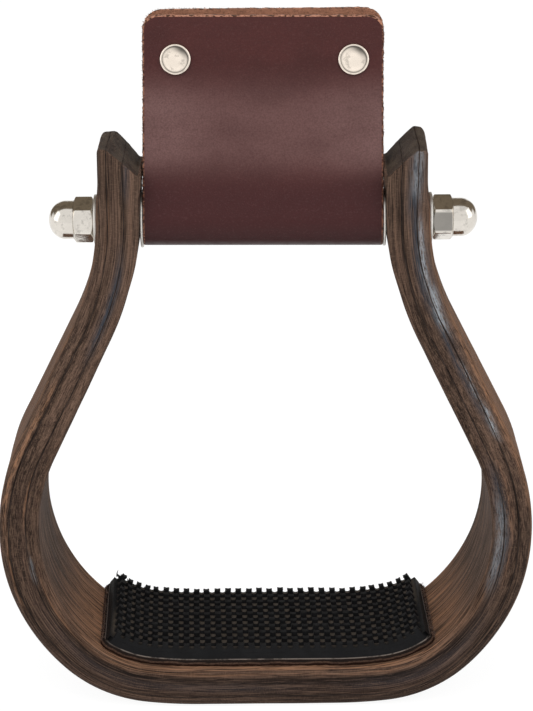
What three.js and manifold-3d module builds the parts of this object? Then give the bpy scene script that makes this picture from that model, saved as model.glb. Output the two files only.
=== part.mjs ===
// A wooden western stirrup. Three wood layers are bent and glued into a pear-shaped frame. A cross rod
// with a sleeve joins the two arms, and a folded leather cover turns on the sleeve. A leather pad and a
// ribbed rubber mat lie on the tread. Millimetres, +Z up, +X to the right, +Y to the back. The origin is
// under the middle of the tread.
import * as THREE from 'three';
import { mergeVertices } from 'three/addons/utils/BufferGeometryUtils.js';
import Module from 'manifold-3d';

// Wood frame
const INNER_LAYER = 4.0;
const CORE_LAYER = 4.6;
const OUTER_LAYER = 4.0;
const GLUE_LINE = 0.3;
const FRAME_THICKNESS = INNER_LAYER + CORE_LAYER + OUTER_LAYER + 2 * GLUE_LINE;
const EDGE_ROUND = 3.6;
const MOST_OF_LAYER = 0.9;
const TREAD_DEPTH = 50.8;
const NECK_DEPTH = 25;
const TAPER_LOW = 33;
const TAPER_HIGH = 145;
const ARM_GAP = 78.8;
const TIP_HEIGHT = 186.2;
const ROD_HEIGHT = 160.3;
const TREAD_FLAT = 22;
const TREAD_BEND = { radius: 137, turn: 6.7 };
const CORNER_BEND = { radius: 32.6, turn: 37.1 };
const SIDE_BEND = { radius: 53.1, turn: 72.4 };
const NECK_BEND_RADIUS = 98.7;
const TIP_BEVEL = 8.7;
const TIP_CHAMFER = 1.2;
const TIP_THINNING = { amount: 0.8, from: 164, to: 176 };
const NECK_SWELL = { amount: 0.6, from: 138, to: 152 };
const TIP_SWELL = { amount: 0.6, from: 170, to: 180 };

// Cross rod, its sleeve, washers and nuts
const ROD_DIAMETER = 8;
const ROD_HOLE = 8.6;
const ROD_END_IN_NUT = 9.5;
const SLEEVE_DIAMETER = 10;
const INNER_WASHER = { outside: 18, thick: 0.8 };
const OUTER_WASHER = { outside: 16, thick: 1.0 };
const WASHER_SEAT = 19;
const NUT_FLATS = 13;
const NUT_HEX_HEIGHT = 6.5;
const NUT_HEIGHT = 14.5;
const NUT_DOME_DIAMETER = 12.3;
const NUT_DOME_STRAIGHT = 2.6;
const NUT_CHAMFER = 30;
const NUT_BORE_DEPTH = 11;
const LEFT_NUT_TURN = 7.7;
const RIGHT_NUT_TURN = 3;

// Leather cover that is folded round the sleeve
const COVER_WIDTH = 75.8;
const COVER_THICKNESS = 3.2;
const COVER_CLEARANCE = 0.3;
const COVER_SLIT = 0.3;
const COVER_CLOSING = 7.2;
const COVER_EASE_RADIUS = 15;
const COVER_FRONT_HEIGHT = 64;
const COVER_BACK_HEIGHT = 66.2;
const COVER_FRONT_CORNER = 4.6;
const COVER_BACK_CORNER = 6.2;
const COVER_LEAN = 12;

// Rivets that close the cover
const RIVET_SPACING = 56;
const RIVET_HEIGHT = 50.2;
const RIVET_CAP_DIAMETER = 9.8;
const RIVET_CAP_EDGE = 0.9;
const RIVET_CAP_CROWN = 1.5;
const RIVET_SOCKET = { diameter: 4.8, depth: 0.7 };
const RIVET_POST_DIAMETER = 4.2;
const RIVET_HOLE = 4.8;
const RIVET_SEAT_GAP = 0.2;

// Tread pad and mat
const SEAT_GAP = 0.3;
const TREAD_SET_BACK = 1.8;
const PAD = { halfLength: 56.9, halfDepth: 23, thick: 1.7, corner: 2.5 };
const MAT = { halfLength: 56.3, halfDepth: 22.5, thick: 2.3, corner: 2 };
const PIN_COLUMNS = 30;
const PIN_ROWS = 10;
const PIN_PITCH = 3.61;
const PIN_ROW_PITCH = 4.78;
const PIN_WIDTH = 1.8;
const PIN_DEPTH = 1.7;
const PIN_HEIGHT = 2.7;
const PIN_WEB_HEIGHT = 1.3;
const PIN_ROOT = 0.5;

// Facets
const ROUND_STEPS = 3;
const CIRCLE_STEPS = 26;
const DOME_STEPS = 5;
const WOOD_STEP = { bend: 6, straight: 8 };
const TREAD_STEP = 5.4;
const FOLD_STEP = 1.9;

const degrees = THREE.MathUtils.degToRad;
const wasm = await Module();
wasm.setup();

// Surfaces
const woodPale = new THREE.MeshStandardMaterial({ color: 0x6a5140, roughness: 0.62, metalness: 0 });
const woodDark = new THREE.MeshStandardMaterial({ color: 0x4b3a30, roughness: 0.66, metalness: 0 });
const coverLeather = new THREE.MeshStandardMaterial({ color: 0x54302f, roughness: 0.45, metalness: 0 });
const padLeather = new THREE.MeshStandardMaterial({ color: 0x4a3226, roughness: 0.8, metalness: 0 });
const blackRubber = new THREE.MeshStandardMaterial({ color: 0x1c1d1f, roughness: 0.7, metalness: 0 });
const nickel = new THREE.MeshStandardMaterial({ color: 0xd6d2c8, roughness: 0.16, metalness: 1 });
const zinc = new THREE.MeshStandardMaterial({ color: 0xb9bbbd, roughness: 0.35, metalness: 1 });

// Solids that are joined and cut
function solidFrom(geometry) {
  const bare = geometry.clone();
  bare.deleteAttribute('normal');
  bare.deleteAttribute('uv');
  const merged = mergeVertices(bare, 1e-4);
  return new wasm.Manifold(new wasm.Mesh({
    numProp: 3,
    vertProperties: new Float32Array(merged.attributes.position.array),
    triVerts: new Uint32Array(merged.index.array),
  }));
}

function geometryFrom(solid) {
  const mesh = solid.getMesh();
  const geometry = new THREE.BufferGeometry();
  geometry.setAttribute('position', new THREE.BufferAttribute(mesh.vertProperties, 3));
  geometry.setIndex(new THREE.BufferAttribute(mesh.triVerts, 1));
  const flat = geometry.toNonIndexed();
  flat.computeVertexNormals();
  return flat;
}

function named(name, geometry, material) {
  const mesh = new THREE.Mesh(geometry, material);
  mesh.name = name;
  return mesh;
}

// A solid of revolution about the X axis. The profile lists [distance along X, radius].
function turned(profile, steps = CIRCLE_STEPS) {
  const points = profile.map(([along, radius]) => new THREE.Vector2(radius, along));
  return new THREE.LatheGeometry(points, steps).rotateZ(-Math.PI / 2);
}

function ring(outside, inside, from, to) {
  return turned([
    [from, inside / 2],
    [from, outside / 2],
    [to, outside / 2],
    [to, inside / 2],
    [from, inside / 2],
  ]);
}

function rod(diameter, from, to) {
  return turned([[from, 0], [from, diameter / 2], [to, diameter / 2], [to, 0]]);
}

// A symmetric run of straights and bends, such as bent wood or folded leather. It starts level at its
// lowest point and rises on both sides. A positive radius turns inwards and a negative one outwards.
// at(s) gives the place and direction at a distance s from the middle, which is negative on the left.
function bentRun(startHeight, bends) {
  const pieces = [];
  let here = { across: 0, up: startHeight, angle: 0, s: 0 };
  for (const bend of bends) {
    const sweep = bend.radius ? degrees(bend.turn) * Math.sign(bend.radius) : 0;
    const length = bend.radius ? Math.abs(bend.radius) * Math.abs(sweep) : bend.length;
    const piece = { start: here, radius: bend.radius, length };
    pieces.push(piece);
    here = along(piece, length);
  }
  function along({ start, radius }, distance) {
    const s = start.s + distance;
    if (!radius) {
      return {
        across: start.across + distance * Math.cos(start.angle),
        up: start.up + distance * Math.sin(start.angle),
        angle: start.angle,
        s,
      };
    }
    const angle = start.angle + distance / radius;
    return {
      across: start.across + radius * (Math.sin(angle) - Math.sin(start.angle)),
      up: start.up + radius * (Math.cos(start.angle) - Math.cos(angle)),
      angle,
      s,
    };
  }
  function at(s) {
    const distance = Math.abs(s);
    const last = pieces[pieces.length - 1];
    const piece = pieces.find((p) => distance <= p.start.s + p.length) ?? last;
    const point = along(piece, distance - piece.start.s);
    return s < 0 ? { ...point, across: -point.across, angle: -point.angle, s } : point;
  }
  // Distances from first to last that follow the bends, with a longer step on the straights.
  function marks(first, last, step, extra = []) {
    const found = [first, last, ...extra];
    for (const side of [-1, 1]) {
      for (const { start, length, radius } of pieces) {
        const count = Math.ceil(length / (radius ? step.bend : step.straight));
        for (let i = 0; i <= count; i += 1) {
          found.push(side * (start.s + (length * i) / count));
        }
      }
    }
    const inside = found.filter((s) => s >= first && s <= last).sort((a, b) => a - b);
    return inside.filter((s, i) => i === 0 || s - inside[i - 1] > 1e-3);
  }
  return { at, marks, length: here.s, end: here };
}

// The section of a strip: [offset to the outside of the bend, distance across the strip] round it.
function stripSection(low, high, half, lowRound, highRound) {
  const corners = [
    { offset: low, side: -1, round: lowRound, from: 90, outward: -1 },
    { offset: low, side: 1, round: lowRound, from: 0, outward: -1 },
    { offset: high, side: 1, round: highRound, from: 90, outward: 1 },
    { offset: high, side: -1, round: highRound, from: 0, outward: 1 },
  ];
  const points = [];
  for (const { offset, side, round, from, outward } of corners) {
    if (!round) {
      points.push([offset, side * half]);
      continue;
    }
    for (let i = 0; i <= ROUND_STEPS; i += 1) {
      const turn = degrees(from === 90 ? 90 - (90 * i) / ROUND_STEPS : (90 * i) / ROUND_STEPS);
      const inset = round * (1 - Math.cos(turn));
      const narrow = round * (1 - Math.sin(turn));
      points.push([offset - outward * inset, side * (half - narrow)]);
    }
  }
  return points;
}

// A closed solid through equal rings of points, with flat ends.
function loft(rings) {
  const count = rings[0].length;
  const positions = rings.flat().flatMap((p) => [p.x, p.y, p.z]);
  const index = [];
  for (let r = 0; r + 1 < rings.length; r += 1) {
    for (let i = 0; i < count; i += 1) {
      const next = (i + 1) % count;
      const a = r * count + i;
      const b = r * count + next;
      index.push(a, b + count, b, a, a + count, b + count);
    }
  }
  const top = (rings.length - 1) * count;
  for (let i = 1; i + 1 < count; i += 1) {
    index.push(0, i, i + 1, top, top + i + 1, top + i);
  }
  const geometry = new THREE.BufferGeometry();
  geometry.setAttribute('position', new THREE.Float32BufferAttribute(positions, 3));
  geometry.setIndex(index);
  return geometry;
}

// A strip bent along a run. The frame's strips lie across Y, and the cover's lies across X.
const acrossY = (across, width, up) => new THREE.Vector3(across, width, up);
const acrossX = (across, width, up) => new THREE.Vector3(-width, across, up);

function bentStrip(run, distances, section, place = acrossY) {
  const rings = distances.map((s) => {
    const { across, up, angle } = run.at(s);
    return section(s).map(([offset, width]) => place(
      across + offset * Math.sin(angle),
      width,
      up - offset * Math.cos(angle),
    ));
  });
  return loft(rings);
}

// Half width of a strip whose end corners are rounded.
function roundedEnd(half, corner, distanceToEnd) {
  if (distanceToEnd >= corner) return half;
  const left = corner - Math.max(distanceToEnd, 0);
  return half - corner + Math.sqrt(corner * corner - left * left);
}

function cornerMarks(end, corner) {
  const inward = -Math.sign(end);
  return [15, 35, 60, 90].map((turn) => end + inward * corner * (1 - Math.cos(degrees(turn))));
}

// The bends of the tread and the flanks on a face that lies higher than the wood's inner face.
function lowerBends(higher) {
  const bends = [TREAD_BEND, CORNER_BEND, SIDE_BEND];
  const closer = bends.map(({ radius, turn }) => ({ radius: radius - higher, turn }));
  return [{ length: TREAD_FLAT }, ...closer];
}

// The frame's inner face. The flank and the neck get the lengths that the arm gap and the tip need.
function frameRun() {
  const lean = TREAD_BEND.turn + CORNER_BEND.turn + SIDE_BEND.turn - 90;
  const lower = lowerBends(0);
  const neckBend = { radius: -NECK_BEND_RADIUS, turn: lean };
  const shoulder = bentRun(FRAME_THICKNESS, lower).end;
  const neckInset = NECK_BEND_RADIUS * (1 - Math.cos(degrees(lean)));
  const flank = (shoulder.across - neckInset - ARM_GAP / 2) / Math.sin(degrees(lean));
  const bends = [...lower, { length: flank }, neckBend];
  const neck = TIP_HEIGHT - bentRun(FRAME_THICKNESS, bends).end.up;
  return bentRun(FRAME_THICKNESS, [...bends, { length: neck }]);
}

const innerFace = frameRun();

function frameHalfDepth(height) {
  const share = THREE.MathUtils.smoothstep(height, TAPER_LOW, TAPER_HIGH);
  return THREE.MathUtils.lerp(TREAD_DEPTH / 2, NECK_DEPTH / 2, share);
}

// How much a layer's thickness changes by a height, from nothing up to the full amount.
function changeBy({ amount, from, to }, height) {
  return amount * THREE.MathUtils.smoothstep(height, from, to);
}

// The arms' inner faces at the rod, where the inner washers lie.
function armFaceAtRod() {
  return ARM_GAP / 2 - changeBy(NECK_SWELL, ROD_HEIGHT);
}

// What is sawn off both arm tips: a long inner bevel and a small outer chamfer.
function tipWaste(side) {
  const inside = ARM_GAP / 2;
  const outside = inside + FRAME_THICKNESS;
  const spare = 3;
  const shape = new THREE.Shape();
  shape.moveTo(inside - spare, TIP_HEIGHT - TIP_BEVEL - spare);
  shape.lineTo(inside + TIP_BEVEL, TIP_HEIGHT);
  shape.lineTo(outside - TIP_CHAMFER, TIP_HEIGHT);
  shape.lineTo(outside + spare, TIP_HEIGHT - TIP_CHAMFER - spare);
  shape.lineTo(outside + spare, TIP_HEIGHT + spare);
  shape.lineTo(inside - spare, TIP_HEIGHT + spare);
  const block = new THREE.ExtrudeGeometry(shape, { depth: TREAD_DEPTH, bevelEnabled: false });
  block.rotateX(Math.PI / 2).translate(0, TREAD_DEPTH / 2, 0);
  if (side < 0) block.rotateZ(Math.PI);
  return solidFrom(block);
}

function frameCuts() {
  const reach = ARM_GAP / 2 + 2 * FRAME_THICKNESS;
  const outside = ARM_GAP / 2 + FRAME_THICKNESS;
  const inside = armFaceAtRod();
  const rodHole = rod(ROD_HOLE, -reach, reach).translate(0, 0, ROD_HEIGHT);
  const innerSeats = rod(WASHER_SEAT, -inside, inside).translate(0, 0, ROD_HEIGHT);
  const seats = [-1, 1].map((side) => {
    const ends = [side * outside, side * reach].sort((a, b) => a - b);
    return solidFrom(rod(WASHER_SEAT, ...ends).translate(0, 0, ROD_HEIGHT));
  });
  return [solidFrom(rodHole), solidFrom(innerSeats), ...seats, tipWaste(-1), tipWaste(1)];
}

function woodFrame() {
  const frame = new THREE.Group();
  const distances = innerFace.marks(-innerFace.length, innerFace.length, WOOD_STEP);
  const core = INNER_LAYER + GLUE_LINE;
  const outer = core + CORE_LAYER + GLUE_LINE;
  const layers = [
    { name: 'wood_inner_layer', low: 0, high: INNER_LAYER, lowRound: EDGE_ROUND, highRound: 0 },
    { name: 'wood_core_layer', low: core, high: core + CORE_LAYER, lowRound: 0, highRound: 0 },
    { name: 'wood_outer_layer', low: outer, high: FRAME_THICKNESS, lowRound: 0, highRound: EDGE_ROUND },
  ];
  const cuts = frameCuts();
  for (const { name, low, high, lowRound, highRound } of layers) {
    const section = (s) => {
      const { up } = innerFace.at(s);
      const top = name === 'wood_outer_layer' ? high - changeBy(TIP_THINNING, up) : high;
      const swell = changeBy(NECK_SWELL, up) + changeBy(TIP_SWELL, up);
      const bottom = name === 'wood_inner_layer' ? low - swell : low;
      const topRound = Math.min(highRound, MOST_OF_LAYER * (top - low));
      return stripSection(bottom, top, frameHalfDepth(up), lowRound, topRound);
    };
    let layer = solidFrom(bentStrip(innerFace, distances, section));
    for (const cut of cuts) layer = layer.subtract(cut);
    const material = name === 'wood_core_layer' ? woodDark : woodPale;
    frame.add(named(name, geometryFrom(layer), material));
  }
  return frame;
}

// Leather pad and rubber mat on the tread
function treadSheet({ halfLength, halfDepth, thick, corner }, gap) {
  const extra = [...cornerMarks(-halfLength, corner), ...cornerMarks(halfLength, corner)];
  const step = { bend: TREAD_STEP, straight: TREAD_FLAT };
  const distances = innerFace.marks(-halfLength, halfLength, step, extra);
  const section = (s) => {
    const half = roundedEnd(halfDepth, corner, halfLength - Math.abs(s));
    return stripSection(-gap - thick, -gap, half, 0, 0);
  };
  return bentStrip(innerFace, distances, section);
}

// One row of pins. Low webs join the pins of a row, so it is a comb that follows the bent mat. The pins
// keep their pitch on the mat's lower face.
function pinRow(base) {
  const outline = [];
  const matFace = bentRun(FRAME_THICKNESS + base, lowerBends(base));
  const surface = (s, heightOnMat) => {
    const { across, up, angle } = matFace.at(s);
    const height = MAT.thick + heightOnMat;
    outline.push(new THREE.Vector2(across - height * Math.sin(angle), up + height * Math.cos(angle)));
  };
  const firstPin = (-PIN_PITCH * (PIN_COLUMNS - 1)) / 2;
  for (let column = 0; column < PIN_COLUMNS; column += 1) {
    const middle = firstPin + column * PIN_PITCH;
    const left = middle - PIN_WIDTH / 2;
    const right = middle + PIN_WIDTH / 2;
    surface(left, column === 0 ? -PIN_ROOT : PIN_WEB_HEIGHT);
    surface(left, PIN_HEIGHT);
    surface(right, PIN_HEIGHT);
    surface(right, column === PIN_COLUMNS - 1 ? -PIN_ROOT : PIN_WEB_HEIGHT);
  }
  for (let column = PIN_COLUMNS - 2; column > 0; column -= 1) {
    surface(firstPin + column * PIN_PITCH, -PIN_ROOT);
  }
  const shape = new THREE.Shape(outline);
  const comb = new THREE.ExtrudeGeometry(shape, { depth: PIN_DEPTH, bevelEnabled: false });
  return comb.rotateX(Math.PI / 2).translate(0, PIN_DEPTH / 2, 0);
}

function tread() {
  const parts = new THREE.Group();
  parts.position.y = TREAD_SET_BACK;
  parts.add(named('tread_leather', geometryFrom(solidFrom(treadSheet(PAD, SEAT_GAP))), padLeather));
  const matGap = SEAT_GAP + PAD.thick + SEAT_GAP;
  let mat = solidFrom(treadSheet(MAT, matGap));
  for (let row = 0; row < PIN_ROWS; row += 1) {
    const y = (row - (PIN_ROWS - 1) / 2) * PIN_ROW_PITCH;
    mat = mat.add(solidFrom(pinRow(matGap).translate(0, y, 0)));
  }
  parts.add(named('tread_mat', geometryFrom(mat), blackRubber));
  return parts;
}

// Acorn nut along +X, with its seat at x = 0 and a blind bore.
function acornNut() {
  const corner = NUT_FLATS / 2 / Math.cos(degrees(30));
  const rise = (corner - NUT_FLATS / 2) * Math.tan(degrees(NUT_CHAMFER));
  const hex = new THREE.CylinderGeometry(corner, corner, NUT_HEX_HEIGHT, 6);
  hex.rotateZ(-Math.PI / 2).translate(NUT_HEX_HEIGHT / 2, 0, 0);
  const flat = NUT_FLATS / 2;
  const eased = turned([
    [0, 0],
    [0, flat],
    [rise, corner],
    [NUT_HEX_HEIGHT - rise, corner],
    [NUT_HEX_HEIGHT, flat],
    [NUT_HEX_HEIGHT, 0],
  ]);
  const domeRadius = NUT_DOME_DIAMETER / 2;
  const straightEnd = NUT_HEX_HEIGHT + NUT_DOME_STRAIGHT;
  const crown = NUT_HEIGHT - straightEnd;
  const domeProfile = [[NUT_HEX_HEIGHT - rise, 0], [NUT_HEX_HEIGHT - rise, domeRadius]];
  for (let i = 0; i <= DOME_STEPS; i += 1) {
    const turn = degrees((90 * i) / DOME_STEPS);
    const radius = i === DOME_STEPS ? 0 : domeRadius * Math.cos(turn);
    domeProfile.push([straightEnd + crown * Math.sin(turn), radius]);
  }
  const bore = turned([
    [-1, 0],
    [-1, ROD_HOLE / 2],
    [NUT_BORE_DEPTH, ROD_HOLE / 2],
    [NUT_BORE_DEPTH + 1, 0],
  ]);
  const solid = solidFrom(hex).intersect(solidFrom(eased)).add(solidFrom(turned(domeProfile)));
  return geometryFrom(solid.subtract(solidFrom(bore)));
}

function crossRod() {
  const parts = new THREE.Group();
  parts.position.z = ROD_HEIGHT;
  const arm = armFaceAtRod();
  const sleeveEnd = arm - INNER_WASHER.thick;
  const outside = ARM_GAP / 2 + FRAME_THICKNESS;
  const nutSeat = outside + OUTER_WASHER.thick;
  const rodEnd = nutSeat + ROD_END_IN_NUT;
  parts.add(named('cross_rod', rod(ROD_DIAMETER, -rodEnd, rodEnd), zinc));
  parts.add(named('rod_sleeve', ring(SLEEVE_DIAMETER, ROD_HOLE, -sleeveEnd, sleeveEnd), zinc));
  for (const [side, name, turn] of [[-1, 'left', LEFT_NUT_TURN], [1, 'right', RIGHT_NUT_TURN]]) {
    const half = new THREE.Group();
    if (side < 0) half.rotation.z = Math.PI;
    const { outside: innerSize, thick: innerThick } = INNER_WASHER;
    const { outside: outerSize } = OUTER_WASHER;
    half.add(named(`inner_washer_${name}`, ring(innerSize, ROD_HOLE, arm - innerThick, arm), zinc));
    half.add(named(`outer_washer_${name}`, ring(outerSize, ROD_HOLE, outside, nutSeat), zinc));
    const nut = named(`acorn_nut_${name}`, acornNut(), nickel);
    nut.position.x = nutSeat;
    nut.rotation.x = -side * degrees(turn);
    half.add(nut);
    parts.add(half);
  }
  return parts;
}

// The folded leather strip, in the cover's own frame: its axis is X and the flap stands up along Z.
function coverStrip() {
  const bendRadius = SLEEVE_DIAMETER / 2 + COVER_CLEARANCE + COVER_THICKNESS / 2;
  const closing = degrees(COVER_CLOSING);
  const layerMiddle = (COVER_SLIT + COVER_THICKNESS) / 2;
  const fold = { radius: bendRadius, turn: 90 + COVER_CLOSING };
  const foldEnd = bentRun(-bendRadius, [fold]).end;
  const ease = { radius: -COVER_EASE_RADIUS, turn: COVER_CLOSING };
  const easeInset = COVER_EASE_RADIUS * (1 - Math.cos(closing));
  const slant = (foldEnd.across - layerMiddle - easeInset) / Math.sin(closing);
  const closed = bentRun(-bendRadius, [fold, { length: slant }, ease]).end;
  const backFlat = COVER_BACK_HEIGHT - closed.up;
  const run = bentRun(-bendRadius, [fold, { length: slant }, ease, { length: backFlat }]);
  const first = -(run.length - (COVER_BACK_HEIGHT - COVER_FRONT_HEIGHT));
  const last = run.length;
  const extra = [...cornerMarks(first, COVER_FRONT_CORNER), ...cornerMarks(last, COVER_BACK_CORNER)];
  const distances = run.marks(first, last, { bend: FOLD_STEP, straight: slant }, extra);
  const half = COVER_WIDTH / 2;
  const section = (s) => {
    const width = s < 0
      ? roundedEnd(half, COVER_FRONT_CORNER, s - first)
      : roundedEnd(half, COVER_BACK_CORNER, last - s);
    return stripSection(-COVER_THICKNESS / 2, COVER_THICKNESS / 2, width, 0, 0);
  };
  let strip = solidFrom(bentStrip(run, distances, section, acrossX));
  for (const side of [-1, 1]) {
    const hole = rod(RIVET_HOLE, -COVER_WIDTH / 4, COVER_WIDTH / 4).rotateZ(Math.PI / 2);
    strip = strip.subtract(solidFrom(hole.translate((side * RIVET_SPACING) / 2, 0, RIVET_HEIGHT)));
  }
  return geometryFrom(strip);
}

// Rivet pieces stand along +X from the leather face at x = 0.
function rivetCap() {
  const radius = RIVET_CAP_DIAMETER / 2;
  const socket = RIVET_SOCKET.diameter / 2;
  return turned([
    [RIVET_SOCKET.depth, 0],
    [RIVET_SOCKET.depth, socket],
    [0, socket],
    [0, radius],
    [RIVET_CAP_EDGE, radius],
    [RIVET_CAP_EDGE + 0.3, radius - 0.35],
    [RIVET_CAP_EDGE + 0.1, radius - 0.8],
    [RIVET_CAP_CROWN - 0.1, radius / 2],
    [RIVET_CAP_CROWN, 0],
  ], 24);
}

function rivetPost(length) {
  const radius = RIVET_CAP_DIAMETER / 2;
  const post = RIVET_POST_DIAMETER / 2;
  return turned([
    [-length, 0],
    [-length, post],
    [0, post],
    [0, radius],
    [RIVET_CAP_EDGE, radius],
    [RIVET_CAP_CROWN, radius / 2],
    [RIVET_CAP_CROWN, 0],
  ], 24);
}

function cover() {
  const parts = new THREE.Group();
  parts.position.z = ROD_HEIGHT;
  parts.rotation.x = -degrees(COVER_LEAN);
  parts.add(named('leather_cover', coverStrip(), coverLeather));
  const face = COVER_SLIT / 2 + COVER_THICKNESS + RIVET_SEAT_GAP;
  const postLength = 2 * face + RIVET_SOCKET.depth - SEAT_GAP;
  for (const [side, name] of [[-1, 'left'], [1, 'right']]) {
    const cap = named(`rivet_cap_${name}`, rivetCap(), nickel);
    cap.rotation.z = -Math.PI / 2;
    cap.position.set((side * RIVET_SPACING) / 2, -face, RIVET_HEIGHT);
    const post = named(`rivet_post_${name}`, rivetPost(postLength), nickel);
    post.rotation.z = Math.PI / 2;
    post.position.set((side * RIVET_SPACING) / 2, face, RIVET_HEIGHT);
    parts.add(cap, post);
  }
  return parts;
}

const stirrup = new THREE.Group();
stirrup.name = 'wooden_western_stirrup';
stirrup.add(woodFrame(), tread(), crossRod(), cover());

export default stirrup;
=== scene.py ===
"""Looks of a wooden western stirrup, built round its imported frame.

Metres, +Z up, +X to the right, +Y to the back. The origin is under the middle of the tread.
"""
import math
import bmesh
import bpy
import numpy as np
from bpy.props import FloatProperty, FloatVectorProperty, IntProperty, PointerProperty
from mathutils import Matrix, Vector, kdtree, noise


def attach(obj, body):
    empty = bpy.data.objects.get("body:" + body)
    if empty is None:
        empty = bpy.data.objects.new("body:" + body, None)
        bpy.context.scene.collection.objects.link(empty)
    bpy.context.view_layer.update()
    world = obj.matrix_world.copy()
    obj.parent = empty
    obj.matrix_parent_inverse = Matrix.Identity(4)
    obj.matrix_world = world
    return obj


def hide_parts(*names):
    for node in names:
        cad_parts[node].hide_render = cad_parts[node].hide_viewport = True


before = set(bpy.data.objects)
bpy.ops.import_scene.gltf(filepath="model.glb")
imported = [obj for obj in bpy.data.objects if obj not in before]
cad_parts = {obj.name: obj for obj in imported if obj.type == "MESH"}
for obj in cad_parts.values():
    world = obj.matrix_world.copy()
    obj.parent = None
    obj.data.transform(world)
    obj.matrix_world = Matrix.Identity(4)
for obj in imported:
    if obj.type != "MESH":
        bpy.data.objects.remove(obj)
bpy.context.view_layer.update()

bl_info = {
    "name": "Wooden western stirrup",
    "version": (1, 0, 0),
    "blender": (4, 5, 0),
    "location": "3D View > Sidebar > Stirrup",
    "description": "Builds a bent wood stirrup with a pinned rubber tread and a riveted leather cover",
    "category": "Add Mesh",
}

MM = 0.001
SIDES = (("left", -1), ("right", 1))


def paint(red, green, blue):
    """A colour given as it is shown, from 0 to 255, as Blender's linear colour."""
    shown = np.array([red, green, blue]) / 255
    return tuple(np.where(shown <= 0.04045, shown / 12.92, ((shown + 0.055) / 1.055) ** 2.4))


def size(name, description, millimetres):
    """A length property, with its default in millimetres."""
    return FloatProperty(
        name=name,
        description=description,
        default=millimetres * MM,
        unit="LENGTH",
        precision=4,
        min=0.0,
    )


def turn(name, description, degrees):
    """An angle property, with its default in degrees."""
    return FloatProperty(
        name=name,
        description=description,
        default=math.radians(degrees),
        subtype="ANGLE",
        unit="ROTATION",
    )


def colour(name, description, red, green, blue):
    """A colour property, with its default as it is shown, from 0 to 255."""
    return FloatVectorProperty(
        name=name,
        description=description,
        default=paint(red, green, blue),
        subtype="COLOR",
        size=3,
        min=0.0,
        max=1.0,
    )


class StirrupWood(bpy.types.PropertyGroup):
    """Sizes and colours of the bent wood frame."""

    inner_layer: size("Inner layer", "Thickness of the wood layer that faces the foot", 4.0)
    core_layer: size("Core layer", "Thickness of the middle wood layer", 4.6)
    outer_layer: size("Outer layer", "Thickness of the outside wood layer", 4.0)
    glue_line: size("Glue line", "Gap between two wood layers", 0.3)
    edge_round: size("Edge round", "Radius of the rounded inner and outer edges", 3.6)
    tread_depth: size("Tread depth", "Depth of the wood at the tread, front to back", 50.8)
    neck_depth: size("Neck depth", "Depth of the wood at the arms, front to back", 25.0)
    taper_low: size("Taper start", "Height where the frame starts to get narrower", 33.0)
    taper_high: size("Taper end", "Height where the frame has the arms' depth", 145.0)
    arm_gap: size("Arm gap", "Gap between the arms at the cross rod", 78.8)
    tip_height: size("Tip height", "Height of the arm tips", 186.2)
    swell: size("Swell", "How much thicker the arms get at the neck, and again at the tips", 0.6)
    glue_wander: size("Glue wander", "How far the glue lines wander across the edge", 0.75)
    brown: colour("Brown", "Main colour of the stained wood", 82, 64, 55)
    dark: colour("Dark", "Dark streaks of the stained wood", 46, 36, 31)
    pale: colour("Pale", "Pale streaks of the stained wood", 126, 101, 85)
    # Rubbed edges: wear, and a painted highlight where the rounded edges catch the light.
    worn_and_lit: colour("Worn", "Rubbed edges of the stained wood", 168, 124, 94)
    # The grey below is residue and partly a painted sheen, and the white flecks after it are painted glints.
    grey: colour("Grey", "Blue grey residue beside the glue lines", 62, 65, 72)
    glint: colour("Fleck", "White flecks in the grey residue", 168, 174, 180)
    end_grain: colour("End grain", "Sawn end grain on the arm tips", 74, 64, 54)


class StirrupTread(bpy.types.PropertyGroup):
    """Sizes and colours of the tread pad and the pinned mat."""

    set_back: size("Set back", "How far the pad and the mat lie behind the middle of the wood", 1.8)
    skew: FloatProperty(
        name="Skew",
        description="Slope of the pins' columns to the right at the front",
        default=0.03,
    )
    pad_half_length: size("Pad half length", "Half the leather pad's length along the tread", 56.9)
    pad_half_depth: size("Pad half depth", "Half the leather pad's depth", 23.0)
    pad_top: size("Pad top", "Height of the leather pad's upper face above the wood", 2.0)
    pad_corner: size("Pad corner", "Corner radius of the leather pad", 2.5)
    mat_half_length: size("Mat half length", "Half the rubber mat's length along the tread", 56.3)
    mat_half_depth: size("Mat half depth", "Half the rubber mat's depth", 22.5)
    mat_low: size("Mat low", "Height above the wood at which the pins keep their pitch", 2.3)
    mat_top: size("Mat top", "Height of the rubber mat's upper face above the wood", 4.6)
    mat_corner: size("Mat corner", "Corner radius of the rubber mat", 2.0)
    pin_columns: IntProperty(name="Pin columns", description="Pins in a row", default=30, min=2)
    pin_rows: IntProperty(name="Pin rows", description="Rows of pins", default=10, min=2)
    pin_pitch: size("Pin pitch", "Distance between two pins in a row", 3.61)
    row_pitch: size("Row pitch", "Distance between two rows of pins", 4.78)
    pin_width: size("Pin width", "Width of a pin along the row", 1.8)
    pin_depth: size("Pin depth", "Depth of a pin", 1.7)
    pin_height: size("Pin height", "Height of a pin above the mat", 2.7)
    web_height: size("Web height", "Height of the web between two pins", 1.3)
    rubber: colour("Rubber", "Black rubber", 22, 22, 23)
    pad: colour("Pad", "Raw leather of the tread pad", 84, 64, 53)


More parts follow.
